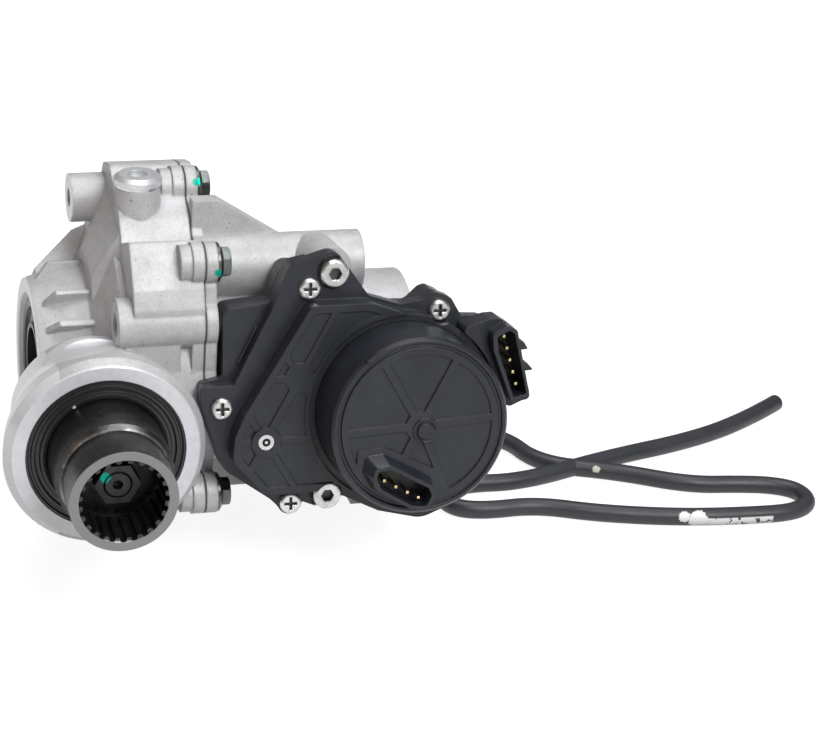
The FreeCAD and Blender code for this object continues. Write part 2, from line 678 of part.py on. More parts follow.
def dog_ring(x_from, x_to, inner, outer, width, phase):
    """Face dogs: ring sectors about the output axis."""
    dogs = []
    for i in range(dog_count):
        sector = Part.makeCylinder(outer, x_to - x_from, AXLE + X * x_from, X, width)
        sector.rotate(AXLE, X, phase + 360.0 * i / dog_count - width / 2)
        dogs.append(sector.cut(rod(inner, AXLE + X * (x_from - 1.0), X, x_to - x_from + 2.0)))
    return dogs


def carrier_cap():
    body = turned([(cap_flange_x, 0), (cap_flange_x, flange_radius), (cap_flange_x + 4.0, flange_radius),
                   (cap_flange_x + 4.0, carrier_outer_radius), (60.0, carrier_outer_radius), (64.5, 26.0),
                   (64.5, 24.0), (right_bearing_x - 0.2, 24.0), (right_bearing_x - 0.2, journal_radius),
                   (cap_end_x, journal_radius), (cap_end_x, 0)], AXLE, X)
    dogs = dog_ring(cap_end_x - 1.0, cap_end_x + dog_length, 16.4, journal_radius, 36.0, 0.0)
    body = joined([body] + dogs)
    cuts = [rod(carrier_inner_radius, AXLE + X * (cap_flange_x - 1.0), X, cavity_right_x - cap_flange_x + 1.0)]
    cuts.append(rod(carrier_bore, AXLE + X * 20.0, X, 80.0))
    cuts.append(rod(cross_pin_radius + seat, AXLE + X * spider_centre_x - Z * 40.0, Z, 80.0))
    for base in bolt_circle(cap_flange_x - 8.0):
        cuts.append(rod(4.2, base, X, 20.0))
    for side in (-1, 1):
        cuts.append(rod(9.0, AXLE + X * (spider_centre_x + 9.0) + Y * (side * 20.0), Y * side, 20.0))
    return carved(body, cuts)


def ring_gear():
    blank = bevel_blank(ring_teeth, pinion_teeth, gear_module, ring_face_width, 1.0 * gear_module,
                        ring_bore_radius, ring_back_x - 18.0 - 1.0 * gear_module * math.sin(math.atan2(37, 12)))
    teeth = bevel_teeth(ring_teeth, pinion_teeth, gear_module, ring_face_width, 0.75 * gear_module,
                        1.0 * gear_module, 0.25, math.pi / ring_teeth - math.pi / 2)
    gear = placed(joined([blank] + teeth), AXLE, X)
    return carved(gear, [rod(4.0, base, X, 40.0) for base in bolt_circle(ring_back_x - 9.0)])


def ring_gear_bolts():
    return [flange_bolt(base, X, 3.95, 15.5, 10.0, 5.5) for base in bolt_circle(cap_flange_x + 4.0)]


def side_gear_teeth(phase):
    blank = bevel_blank(side_teeth, spider_teeth, diff_module, diff_face_width, 1.0 * diff_module, 12.3, 4.0)
    teeth = bevel_teeth(side_teeth, spider_teeth, diff_module, diff_face_width, 0.75 * diff_module,
                        1.0 * diff_module, 0.3, phase)
    return joined([blank] + teeth)


def stub_spline(x_from, length):
    outline = spur_outline(20, 1.1, 0.5, 0.6, -0.1, 1, 0.0)
    return toothed(outline, lambda a, b: AXLE + Vector(x_from, a, b), X * length)


def side_gear_left():
    centre = AXLE + X * spider_centre_x
    gear = placed(side_gear_teeth(0.0), centre, -X)
    hub = tube(carrier_bore - running, 10.0, centre - X * 18.0, -X, 28.0)
    return joined([gear, hub]).cut(stub_spline(-20.0, 56.0))


def side_gear_right():
    centre = AXLE + X * spider_centre_x
    gear = placed(side_gear_teeth(0.0), centre, X)
    hub = tube(carrier_bore - running, 8.0, centre + X * 18.0, X, cap_end_x + dog_length + 0.5 - spider_centre_x - 18.0)
    shaft = turned([(cap_end_x + dog_length + 0.4, 8.0), (cap_end_x + dog_length + 0.4, carrier_bore - running),
                    (lock_chamber_end_x, carrier_bore - running), (lock_chamber_end_x, 15.0 - running),
                    (lock_chamber_end_x + 13.5, 15.0 - running), (lock_chamber_end_x + 13.5, 8.0)], AXLE, X)
    keys = []
    for i in range(8):
        key = Part.makeBox(32.0, 3.4, 6.0, Vector(89.0, -1.7, 10.0))
        key.rotate(ORIGIN, X, 45.0 * i)
        key.translate(AXLE)
        keys.append(key)
    body = joined([gear, hub, shaft] + keys)
    return carved(body, [stub_spline(100.0, 60.0), rod(8.0, AXLE + X * 40.0, X, 70.0)])


def spider_gear(side):
    """side is +1 or -1 along Z."""
    blank = bevel_blank(spider_teeth, side_teeth, diff_module, diff_face_width, 1.0 * diff_module, 5.4, 2.0)
    teeth = bevel_teeth(spider_teeth, side_teeth, diff_module, diff_face_width, 0.75 * diff_module,
                        1.0 * diff_module, 0.3, math.pi / spider_teeth)
    gear = joined([blank] + teeth)
    return placed(gear, AXLE + X * spider_centre_x, Z * side).cut(
        rod(cross_pin_radius + running, AXLE + X * spider_centre_x - Z * 40.0, Z, 80.0))


def cross_pin():
    return rod(cross_pin_radius, AXLE + X * spider_centre_x - Z * (carrier_outer_radius - 0.5), Z,
               2 * carrier_outer_radius - 1.0)


def carrier_bearings():
    left = bearing(output_seal_radius, journal_radius, AXLE + X * left_bearing_x, X, carrier_bearing_width, 11)
    right = bearing(34.0, journal_radius, AXLE + X * right_bearing_x, X, carrier_bearing_width, 11)
    return left + right


def carrier_inner_races():
    left = inner_race(output_seal_radius, journal_radius, AXLE + X * left_bearing_x, X, carrier_bearing_width)
    right = inner_race(34.0, journal_radius, AXLE + X * right_bearing_x, X, carrier_bearing_width)
    return [left, right]


def output_bearing():
    return bearing(right_bearing_outer, 15.0, AXLE + X * lock_chamber_end_x, X, 13.0, 9)


def output_inner_race():
    return inner_race(right_bearing_outer, 15.0, AXLE + X * lock_chamber_end_x, X, 13.0)


def output_seal(base, axis):
    outer = output_seal_radius - seat
    return turned([(0, output_seal_bore), (0, 19.5), (1.5, 20.5), (1.5, 26.5), (0, 27.0), (0, outer),
                   (output_seal_width, outer), (output_seal_width, output_seal_bore)], base, axis)


# Lock mechanism

def lock_collar():
    body = turned([(collar_x, 0), (collar_x, collar_radius), (fork_x - groove_width / 2, collar_radius),
                   (fork_x - groove_width / 2, groove_radius), (fork_x + groove_width / 2, groove_radius),
                   (fork_x + groove_width / 2, collar_radius), (collar_x + collar_width, collar_radius),
                   (collar_x + collar_width, 0)], AXLE, X)
    dogs = dog_ring(collar_x - dog_length, collar_x + 1.0, 16.4, journal_radius, 36.0, 360.0 / dog_count / 2)
    cuts = [rod(carrier_bore, AXLE + X * 80.0, X, 60.0)]
    for i in range(8):
        slot = Part.makeBox(60.0, 3.4 + 2 * gap, 6.0 + gap, Vector(80.0, -1.7 - gap, 10.0))
        slot.rotate(ORIGIN, X, 45.0 * i)
        slot.translate(AXLE)
        cuts.append(slot)
    return carved(joined([body] + dogs), cuts)


shift_pinion_teeth = 14
rack_spaces = 7
rail_left_x = 61.5
rail_length = 57.0


def shift_rail():
    """Round rail with rack teeth cut in its underside."""
    rail = rod(rail_radius, Vector(rail_left_x, RAIL.y, RAIL.z), X, rail_length)
    pitch = math.pi
    level = output_shaft_v + shift_pinion_teeth / 2
    first = output_shaft_u - 1.5 * pitch
    half = pitch / 4 + 0.1
    slope = math.tan(math.radians(20))
    depth = (rail_depth - rail_radius - 1.0, rail_depth + rail_radius + 1.0)
    cuts = [actuator_plate([(first - 3.5, level - 4.0, 0), (first + rack_spaces * pitch, level - 4.0, 0),
                            (first + rack_spaces * pitch, level - 0.9, 0), (first - 3.5, level - 0.9, 0)],
                           depth[0], depth[1])]
    for i in range(rack_spaces):
        u = first + pitch * i
        cuts.append(actuator_plate([(u - half - slope, level - 1.0, 0), (u + half + slope, level - 1.0, 0),
                                    (u + half - 1.3 * slope, level + 1.3, 0), (u - half + 1.3 * slope, level + 1.3, 0)],
                                   depth[0], depth[1]))
    return carved(rail, cuts)


def shift_fork():
    """Forked plate that straddles the collar's groove, with a hub clamped on the rail."""
    thickness = groove_width - 0.7
    left = fork_x - thickness / 2
    ring = tube(collar_radius + 5.0, groove_radius + gap, AXLE + X * left, X, thickness)
    opening = Part.makeBox(thickness + 2.0, 60.0, 80.0, Vector(left - 1.0, axle_y + 2.0, -40.0))
    arm = plate_yz([(RAIL.y, RAIL.z - 6.5, 0), (RAIL.y, RAIL.z + 6.5, 0), (114, 12, 0), (114, -9, 0)],
                   left, left + thickness)
    hub = rod(fork_hub_radius, Vector(left - 3.0, RAIL.y, RAIL.z), X, thickness + 6.0)
    body = joined([ring.cut(opening), arm, hub])
    return carved(body, [rod(rail_radius + seat, Vector(60.0, RAIL.y, RAIL.z), X, 80.0),
                         rod(groove_radius + gap, AXLE + X * (left - 5.0), X, thickness + 10.0)])


# Actuator

idler_place = (-27.0, 10.0)
reduction_place = (-48.2, 18.8)
motor_teeth = 12
idler_big_teeth = 46
idler_small_teeth = 14
reduction_big_teeth = 32
reduction_small_teeth = 37
output_teeth = 28
wheel_width = 4.0
layer_a = -55.4
layer_b = -51.0
layer_c = -46.6
housing_split = -42.4
cover_floor = -29.0
pin_radius = 2.5
idler_pin_end = -37.0
motor_can_radius = 33.0
motor_can_wall = 3.0
motor_can_front = -5.0
motor_shaft_radius = 2.5
groove_ring_radius = 35.6
four_pin_floor = -6.0
five_pin_face = -18.0

flange_profile = [(-29, 70, 6), (-14, 49, 4), (0, 44.5, 8), (10, 46, 6), (15, 49.5, 4), (23, 46.5, 5),
                  (29, 36, 4), (29, -47, 4),
                  (12, -54, 12), (-8, -49, 3), (-26, -40, 3), (-31, -47, 3), (-43, -42, 2), (-49, -48, 4),
                  (-57, -40, 4), (-78, -25, 12), (-87, 3, 4), (-88, 12, 2), (-73, 12, 2), (-56, 46, 3),
                  (-49, 64, 6)]
housing_profile = [(-28, 68.5, 6), (-13, 47.5, 4), (1, 43, 8), (10, 44.5, 6), (15, 48.5, 4), (23, 45.5, 5),
                   (29, 36, 4), (29, -47, 4),
                   (12, -54, 12), (-8, -49, 3), (-26, -40, 3), (-31, -47, 3), (-43, -42, 2), (-49, -48, 4),
                   (-57, -40, 4), (-78, -25, 12), (-87, 3, 4), (-87, 12, 2), (-76.5, 14, 2), (-76.5, 44, 4),
                   (-56, 46, 3), (-49, 64, 6)]
deep_profile = [(-8, 44, 3), (1, 41.5, 6), (8, 41.3, 4), (14, 46.8, 4), (17, 47.8, 3), (22, 45.5, 4), (28, 40, 4),
                (29.5, 34, 3), (29.5, -47, 4), (12, -54, 12), (-8, -49, 3), (-26, -40, 3), (-48, -33, 4),
                (-66, -28, 6), (-76.5, -16, 6), (-76.5, 44, 4), (-56, 46, 3), (-50, 62, 5), (-43, 62, 3),
                (-38, 46, 2)]
cover_profile = [(-41.5, 48, 5), (-15, 48, 6), (10, 39, 0), (10, -43, 0), (-26, -34.8, 4), (-61, -35, 7),
                 (-75.5, -19, 7), (-74.5, -8, 6), (-70.5, 1, 4)]
panel_profile = [(-40, 44.5, 3), (-16, 44.5, 4), (10, 35, 0), (10, -39, 0), (-26, -31.3, 2), (-60, -31.5, 4),
                 (-71.5, -17.5, 4), (-71, -9, 3), (-66.8, 1, 2)]
star_centres = [(-46.5, 16.7), (-61.0, -11.0)]
panel_depth = 0.8
channel_radius = 42.0
channel_floor = -28.5
small_screws = [(-40.3, 53.4), (17.6, 41.2), (-78.4, 2.4), (-48.1, -42.1)]
small_screw_radius = 2.0
shallow_back = -47.0
gear_room = [(idler_place, 25.0, -55.9), (reduction_place, 20.0, -51.5), ((output_shaft_u, output_shaft_v), 15.4, -46.9),
             ((0.0, 0.0), 8.0, -55.9)]


def actuator_rear_housing():
    shallow = actuator_plate(housing_profile, shallow_back, housing_split)
    deep = actuator_plate(deep_profile, housing_back, shallow_back)
    body = joined([shallow, deep])
    cuts = [actuator_rod(radius, place[0], place[1], floor, housing_split + 1.0) for place, radius, floor in gear_room]
    cuts.append(actuator_rod(shift_shaft_radius + running, output_shaft_u, output_shaft_v, housing_back - 1.0, -45.0))
    for u, v in main_screw_places:
        cuts.append(actuator_rod(main_screw_radius + 0.3, u, v, housing_back - 1.0, housing_split + 1.0))
        cuts.append(actuator_rod(main_boss_radius + 2.0, u, v, housing_back - 1.0, mount_plane))
    for u, v in small_screws:
        cuts.append(actuator_rod(small_screw_radius + seat, u, v, gear_cover_flange - 10.0, housing_split + 1.0))
    cuts.append(actuator_rod(pin_radius + seat, idler_place[0], idler_place[1], housing_back + 0.6, -50.0))
    cuts.append(rod(gear_chamber_radius + case_wall + gap, AXLE + X * 40.0, X, 13.3))
    return carved(body, cuts)


def actuator_gasket():
    sheet = actuator_plate(flange_profile, housing_split, -42.0)
    cuts = [actuator_rod(radius, place[0], place[1], -44.0, -41.0) for place, radius, floor in gear_room]
    for u, v in main_screw_places:
        cuts.append(actuator_rod(main_screw_radius + 0.3, u, v, -44.0, -41.0))
    for u, v in small_screws:
        cuts.append(actuator_rod(small_screw_radius + 0.3, u, v, -44.0, -41.0))
    return carved(sheet, cuts)


def star_panels():
    """Shallow panels sunk into the raised face, leaving ribs that run out from two centres."""
    panel = actuator_plate(panel_profile, gear_cover_face - panel_depth, gear_cover_face + 1.0)
    kept = [actuator_rod(channel_radius + 2.0, 0, 0, gear_cover_face - 2.0, gear_cover_face + 2.0)]
    for u, v in star_centres:
        kept.append(actuator_rod(6.5, u, v, gear_cover_face - 2.0, gear_cover_face + 2.0))
        for i in range(6):
            angle = math.radians(1.0 + 60.0 * i)
            du = math.cos(angle)
            dv = math.sin(angle)
            kept.append(actuator_plate([(u - 1.4 * dv, v + 1.4 * du, 0), (u + 1.4 * dv, v - 1.4 * du, 0),
                                        (u + 38.0 * du + 1.4 * dv, v + 38.0 * dv - 1.4 * du, 0),
                                        (u + 38.0 * du - 1.4 * dv, v + 38.0 * dv + 1.4 * du, 0)],
                                       gear_cover_face - 2.0, gear_cover_face + 2.0))
    return panel.cut(kept)


def actuator_gear_cover():
    flange = actuator_plate(flange_profile, -42.0, gear_cover_flange)
    raised = actuator_plate(cover_profile, gear_cover_flange - 1.0, gear_cover_face)
    collar = actuator_rod(motor_cover_radius + 3.2, 0, 0, gear_cover_flange - 1.0, gear_cover_face - 1.5)
    arm = actuator_plate([(12, 44, 0), (28, 38, 2), (36, 37.5, 3), (47.5, 34, 3), (56, 2, 3), (40, -8, 3),
                          (12, -8, 0)], -42.0, gear_cover_flange)
    pieces = [flange, raised, collar, arm]
    for u, v in small_screws[:2] + small_screws[3:]:
        pieces.append(actuator_rod(5.4, u, v, -42.0, gear_cover_flange))
    pieces.append(actuator_rod(6.5, output_shaft_u, output_shaft_v, gear_cover_face - 2.0, gear_cover_face + 0.8))
    body = joined(pieces)
    rooms = [(reduction_place, 8.5), ((output_shaft_u, output_shaft_v), 11.5)]
    body = body.cut([actuator_rod(radius, place[0], place[1], -43.0, cover_floor) for place, radius in rooms])
    body = body.fuse([actuator_rod(5.0, place[0], place[1], -41.6, cover_floor + 0.5) for place, radius in rooms])
    cuts = [actuator_rod(motor_cover_radius + 0.1, 0, 0, gear_cover_flange, gear_cover_face + 2.0),
            actuator_rod(channel_radius, 0, 0, channel_floor, gear_cover_face + 2.0)]
    cuts.append(actuator_rod(5.0, 0, 0, -44.0, gear_cover_flange + 1.0))
    cuts.append(actuator_rod(pin_radius + seat, idler_place[0], idler_place[1], -43.0, idler_pin_end + 0.2))
    cuts.append(actuator_rod(pin_radius + seat, reduction_place[0], reduction_place[1], -43.0, -30.5))
    cuts.append(actuator_rod(shift_shaft_radius - 0.5 + running, output_shaft_u, output_shaft_v, -43.0,
                             gear_cover_face + 2.0))
    for u, v in main_screw_places:
        cuts.append(actuator_rod(main_screw_radius + 0.3, u, v, -43.0, -30.0))
        cuts.append(actuator_rod(7.2, u, v, -38.0, gear_cover_face + 2.0))
    for u, v in small_screws:
        cuts.append(actuator_rod(small_screw_radius + 0.2, u, v, -43.0, -30.0))
        cuts.append(actuator_rod(5.1, u, v, gear_cover_flange, gear_cover_face + 2.0))
    cuts.append(star_panels())
    return carved(body, cuts)


def motor_cover():
    outer = turned([(-26.0, 0), (-26.0, motor_cover_radius), (-1.2, motor_cover_radius),
                    (0, motor_cover_radius - 1.2), (0, groove_ring_radius + 0.8), (-1.0, groove_ring_radius + 0.4),
                    (-1.0, groove_ring_radius - 0.6), (0, groove_ring_radius - 1.0), (0, 0)],
                   actuator_point(0, 0, 0), OUTWARD)
    lower = actuator_rod(motor_cover_radius, 0, 0, gear_cover_flange, -25.0)
    rim = rounded_wire([(-22.4, -20.2, 2), (-20.7, -15.5, 2), (-14.2, -14.6, 3), (4.1, -24.8, 2), (5.7, -29.4, 2),
                        (2.2, -35.8, 3), (-4.9, -34.9, 3), (-19.6, -25.8, 3)],
                       lambda p: actuator_point(p.x, p.y, 6.0))
    foot = rounded_wire([(-26.6, -17.5, 2), (-25.5, -10.8, 3), (-17, -9.8, 3), (4.5, -21.5, 2), (6.5, -28, 2),
                         (3, -33.2, 3), (-5.5, -32.8, 3), (-22.5, -25.5, 3)],
                        lambda p: actuator_point(p.x, p.y, -2.0))
    shroud = Part.makeLoft([foot, rim], True, True)
    hub = turned([(-2.0, 0), (-2.0, 5.5), (0.8, 5.5), (0.8, 4.6), (0.3, 4.2), (0.3, 3.8), (1.4, 3.4), (1.4, 0)],
                 actuator_point(2.0, -2.0, 0), OUTWARD)
    dot = actuator_rod(1.3, 16.0, 7.0, -1.0, 0.6)
    bump = actuator_rod(2.6, -23.0, 32.0, -1.0, 1.0).common(actuator_rod(motor_cover_radius, 0, 0, -2.0, 2.0))
    body = joined([outer, lower, shroud, hub, dot, bump])
    sectors = []
    spokes = [61.5, 4.0, -67.5, -117.0, 182.6, 119.7]
    room = actuator_rod(groove_ring_radius - 4.0, 0, 0, -1.0, 1.0).cut(actuator_rod(6.5, 0, 0, -2.0, 2.0))
    bars = []
    for angle in spokes:
        along = math.radians(angle)
        side = (-math.sin(along) * 1.65, math.cos(along) * 1.65)
        tip = (40.0 * math.cos(along), 40.0 * math.sin(along))
        bars.append(actuator_plate([(side[0], side[1], 0), (-side[0], -side[1], 0),
                                    (tip[0] - side[0], tip[1] - side[1], 0), (tip[0] + side[0], tip[1] + side[1], 0)],
                                   -2.0, 2.0))
    bars.append(actuator_plate([(-28, -29, 0), (-27.5, -10, 0), (-16, -8, 0), (7, -19.5, 0), (12, -30, 0),
                                (6, -43, 0), (-21, -33, 0)], -2.0, 2.0))
    sectors = carved(room, bars)
    cavity = actuator_plate([(-20.6, -19.9, 1), (-19.5, -17, 1), (-14.4, -16.4, 2), (2.6, -25.9, 1), (3.9, -29.3, 1),
                             (1.3, -34, 2), (-4.4, -33.2, 2), (-18.3, -25, 2)], four_pin_floor, 8.0)
    pocket = actuator_rod(motor_can_radius + 0.1, 0, 0, gear_cover_flange - 1.0, motor_can_front)
    body = carved(body, [sectors, cavity, pocket.cut(actuator_plate(
        [(-26, -30, 0), (-24, -14, 0), (-10, -12, 0), (10, -20, 0), (13, -30, 0), (4, -42, 0), (-22, -34, 0)],
        four_pin_floor - 2.0, 0.0))])
    return body


def drive_motor():
    """Motor can with magnets: a closed drum with a bearing hole in each end."""
    back = gear_cover_flange
    front = motor_can_front - 4.0
    can = actuator_rod(motor_can_radius, 0, 0, back, front)
    hollow = actuator_rod(motor_can_radius - motor_can_wall, 0, 0, back + 2.0, front - 2.0)
    magnets = []
    for side in (-1, 1):
        shell = actuator_rod(motor_can_radius - motor_can_wall + 0.1, 0, 0, back + 4.0, front - 4.0)
        shell = shell.cut(actuator_rod(motor_can_radius - motor_can_wall - 3.5, 0, 0, back + 3.0, front - 3.0))
        box = actuator_plate([(-22, side * 8, 0), (22, side * 8, 0), (22, side * 40, 0), (-22, side * 40, 0)]
                             if side > 0 else [(-22, -8, 0), (-22, -40, 0), (22, -40, 0), (22, -8, 0)],
                             back + 3.0, front - 3.0)
        magnets.append(shell.common(box))
    boss = actuator_rod(6.0, 0, 0, front - 3.0, front)
    body = joined([can.cut(hollow), boss] + magnets)
    return body.cut(actuator_rod(motor_shaft_radius + running, 0, 0, back - 1.0, front - 0.5))


def motor_rotor():
    core = actuator_rod(25.5, 0, 0, gear_cover_flange + 5.0, motor_can_front - 9.5)
    slots = []
    for i in range(8):
        angle = math.radians(45.0 * i)
        slots.append(actuator_rod(2.2, 24.0 * math.cos(angle), 24.0 * math.sin(angle), gear_cover_flange + 4.0,
                                  motor_can_front - 8.0))
    shaft = actuator_rod(motor_shaft_radius, 0, 0, layer_a, motor_can_front - 4.6)
    return joined([core.cut(slots), shaft])


def wheel(teeth, place, w_from, bore, phase):
    outline = spur_outline(teeth, 1.0, 0.9, 1.15, 0.16, 2, phase)
    gear = toothed(outline, lambda a, b: actuator_point(place[0] + a, place[1] + b, w_from), OUTWARD * wheel_width)
    return gear.cut(actuator_rod(bore, place[0], place[1], w_from - 1.0, w_from + wheel_width + 1.0))


def bearing_angle(place_a, place_b):
    return math.atan2(place_b[1] - place_a[1], place_b[0] - place_a[0])


def meshed_phase(teeth, own_place, mate_place, mate_teeth, mate_phase):
    """Phase that puts a space of this gear where the mate's tooth stands on the line of centres."""
    to_mate = bearing_angle(own_place, mate_place)
    to_own = bearing_angle(mate_place, own_place)
    offset = (to_own - mate_phase) * mate_teeth / (2 * math.pi)
    return to_mate + (offset + 0.5) * 2 * math.pi / teeth


motor_phase = 0.0
idler_phase = meshed_phase(idler_big_teeth, idler_place, (0.0, 0.0), motor_teeth, motor_phase)
reduction_phase = meshed_phase(reduction_big_teeth, reduction_place, idler_place, idler_small_teeth, idler_phase)
output_phase = meshed_phase(output_teeth, (output_shaft_u, output_shaft_v), reduction_place, reduction_small_teeth,
                            reduction_phase)


def motor_pinion():
    return wheel(motor_teeth, (0.0, 0.0), layer_a, motor_shaft_radius + seat, motor_phase)


def idler_gear():
    big = wheel(idler_big_teeth, idler_place, layer_a, pin_radius + running, idler_phase)
    small = wheel(idler_small_teeth, idler_place, layer_b, pin_radius + running, idler_phase)
    spacer = actuator_rod(5.5, idler_place[0], idler_place[1], layer_a + wheel_width, layer_b)
    spacer = spacer.cut(actuator_rod(pin_radius + running, idler_place[0], idler_place[1], layer_a, layer_b + 1.0))
    return joined([big, spacer, small])


def reduction_gear():
    big = wheel(reduction_big_teeth, reduction_place, layer_b, pin_radius + running, reduction_phase)
    small = wheel(reduction_small_teeth, reduction_place, layer_c, pin_radius + running, reduction_phase)
    spacer = actuator_rod(12.0, reduction_place[0], reduction_place[1], layer_b + wheel_width, layer_c)
    spacer = spacer.cut(actuator_rod(pin_radius + running, reduction_place[0], reduction_place[1], layer_b,
                                     layer_c + 1.0))
    return joined([big, spacer, small])


def output_gear():
    return wheel(output_teeth, (output_shaft_u, output_shaft_v), layer_c, shift_shaft_radius + seat, output_phase)


def gear_pins():
    idler = actuator_rod(pin_radius, idler_place[0], idler_place[1], housing_back + 0.8, idler_pin_end)
    reduction = actuator_rod(pin_radius, reduction_place[0], reduction_place[1], layer_b + 0.3, -31.0)
    return [idler, reduction]


def shift_shaft():
    shaft = actuator_rod(shift_shaft_radius, output_shaft_u, output_shaft_v, -79.5, -42.1)
    nose = actuator_rod(shift_shaft_radius - 0.5, output_shaft_u, output_shaft_v, -42.1, gear_cover_face + 0.4)
    outline = spur_outline(shift_pinion_teeth, 1.0, 0.9, 1.15, 0.16, 2, 0.0)
    pinion = toothed(outline, lambda a, b: actuator_point(output_shaft_u + a, output_shaft_v + b, rail_depth - 4.0),
                     OUTWARD * 8.0)
    return joined([shaft, nose, pinion])


def actuator_shaft_seal():
    ring = actuator_rod(shaft_bore_radius, output_shaft_u, output_shaft_v, -64.0, housing_back - 0.6)
    return ring.cut(actuator_rod(shift_shaft_radius + running, output_shaft_u, output_shaft_v, -66.0, -56.0))


def screw(radius, place, seat_w, length, head_radius, head_height, socket):
    u, v = place
    head = turned([(0, 0), (0, head_radius), (head_height - 0.8, head_radius), (head_height, head_radius - 0.8),
                   (head_height, 0)], actuator_point(u, v, seat_w), OUTWARD)
    shank = actuator_rod(radius, u, v, seat_w - length, seat_w)
    body = joined([head, shank])
    if socket == "hex":
        return body.cut(hexagon(5.0, actuator_point(u, v, seat_w + head_height - 2.8), OUTWARD, 4.0))
    slots = []
    for du, dv in ((2.9, 0.65), (0.65, 2.9)):
        slots.append(actuator_plate([(u - du, v - dv, 0), (u + du, v - dv, 0), (u + du, v + dv, 0), (u - du, v + dv, 0)],
                                    seat_w + head_height - 1.4, seat_w + head_height + 1.0))
    return carved(body, slots)


def actuator_mount_screws():
    return [screw(main_screw_radius, place, -38.0, 26.0, 6.2, 6.0, "hex") for place in main_screw_places]


def cover_screws():
    return [screw(small_screw_radius, place, gear_cover_flange, 9.5, 4.7, 2.6, "cross") for place in small_screws]


def five_pin_connector():
    block = actuator_plate([(24, 35, 2), (37.3, 38.9, 2), (41.8, 39.1, 2), (48.4, 34.7, 2), (57, 3, 3), (47.5, -1, 2),
                            (43, 1, 1), (41.9, 2.2, 0), (33, 25.5, 0), (28.5, 31.0, 0)], gear_cover_flange, -24.0)
    block = block.cut(actuator_rod(channel_radius + 0.1, 0, 0, -38.0, -10.0))
    shroud = actuator_plate([(36.5, 34, 2), (43.4, 37.6, 2), (47.6, 35.2, 2), (54.5, 4.2, 2), (46, 2.7, 1.5),
                             (37, 26.8, 1.5)], -26.0, -17.0)
    ribs = [actuator_plate([(48, 29.4, 0), (51.6, 29.2, 0.5), (53.8, 25.7, 0.5), (48, 25.4, 0)], -34.0, -20.0),
            actuator_plate([(50, 19.6, 0), (53.4, 19.6, 0.5), (56.5, 16.2, 0.5), (50, 15.8, 0)], -34.0, -20.0)]
    opening = actuator_plate([(38.6, 32.6, 1), (44.2, 35.2, 1.2), (46.5, 33.6, 1.2), (52.7, 6.3, 1.2), (46.9, 5.0, 1),
                              (39.3, 26.2, 1)], -33.0, -16.0)
    return joined([block, shroud] + ribs).cut(opening)


def connector_terminals():
    pins = []
    for u, v in ((-16.6, -22.0), (-11.5, -25.0), (-6.4, -27.8), (-1.4, -30.4)):
        pins.append(actuator_plate([(u - 0.6, v - 0.6, 0), (u + 0.6, v - 0.6, 0), (u + 0.6, v + 0.6, 0),
                                    (u - 0.6, v + 0.6, 0)], four_pin_floor, 3.6))
    for i in range(5):
        u = 42.6 + 1.5 * i
        v = 32.0 - 5.4 * i
        pins.append(actuator_plate([(u - 0.6, v - 0.6, 0), (u + 0.6, v - 0.6, 0), (u + 0.6, v + 0.6, 0),
                                    (u - 0.6, v + 0.6, 0)], -33.0, -20.0))
    return pins


# Breather

fitting_base = Vector(112.0, 136.0, -56.0)
hose_radius = 4.25
hose_bore = 2.6
hose_level = floor_z + hose_radius + 0.05
hose_points = [Vector(119, 136, -56), Vector(152, 136, -56), Vector(186, 172, hose_level),
               Vector(219, 166, hose_level), Vector(227, 133, hose_level), Vector(262, 120, hose_level),
               Vector(293, 98, hose_level), Vector(320, 95, hose_level), Vector(354, 92, hose_level),
               Vector(355, 68, hose_level), Vector(322, 66, hose_level), Vector(280, 69, hose_level),
               Vector(240, 79, hose_level), Vector(212, 92, hose_level), Vector(182, 92, hose_level),
               Vector(180, 112, hose_level), Vector(214, 118, hose_level), Vector(262, 140, hose_level),
               Vector(310, 153, hose_level), Vector(348, 168, hose_level), Vector(374, 183, hose_level)]


def breather_fitting():
    return turned([(-8.0, 1.2), (-8.0, 4.0), (0, 4.0), (0, 6.5), (4.0, 6.5), (4.0, 3.2), (7.0, 3.2), (7.0, hose_bore),
                   (20.0, hose_bore), (21.0, 2.0), (21.0, 1.2)], fitting_base, X)


def vent_hose():
    """Straight runs joined by tangent arcs; each arc takes 0.45 of the shorter neighbouring run."""
    edges = []
    start = hose_points[0]
    for i in range(1, len(hose_points) - 1):
        corner = hose_points[i]
        back = hose_points[i - 1] - corner
        ahead = hose_points[i + 1] - corner
        reach = 0.45 * min(back.Length, ahead.Length)
        turn = math.pi - back.getAngle(ahead)
        radius = reach / math.tan(turn / 2)
        back.normalize()
        ahead.normalize()
        first = corner + back * reach
        last = corner + ahead * reach
        middle = corner + (back + ahead).normalize() * (math.hypot(radius, reach) - radius)
        edges.append(Part.LineSegment(start, first).toShape())
        edges.append(Part.Arc(first, middle, last).toShape())
        start = last
    edges.append(Part.LineSegment(start, hose_points[-1]).toShape())
    path = Part.Wire(edges)
    return path.makePipe(hose_section(hose_points[0], hose_points[1] - hose_points[0]))


def hose_section(centre, along):
    """Annular cross-section of the hose at one place."""
    rings = [Part.Wire([Part.Circle(centre, along, radius).toShape()]) for radius in (hose_radius, hose_bore + seat)]
    return Part.Face(rings)


def hose_clip():
    along = (hose_points[1] - hose_points[0]).normalize()
    base = hose_points[0] + along * 4.0
    band = tube(hose_radius + 1.0, hose_radius + seat, base, along, 6.0)
    ears = []
    for side in (-1, 1):
        ears.append(Part.makeBox(6.0, 1.2, 5.0, base + Vector(0, side * 1.6 - 0.6, hose_radius + 0.4)))
    return joined([band] + ears)


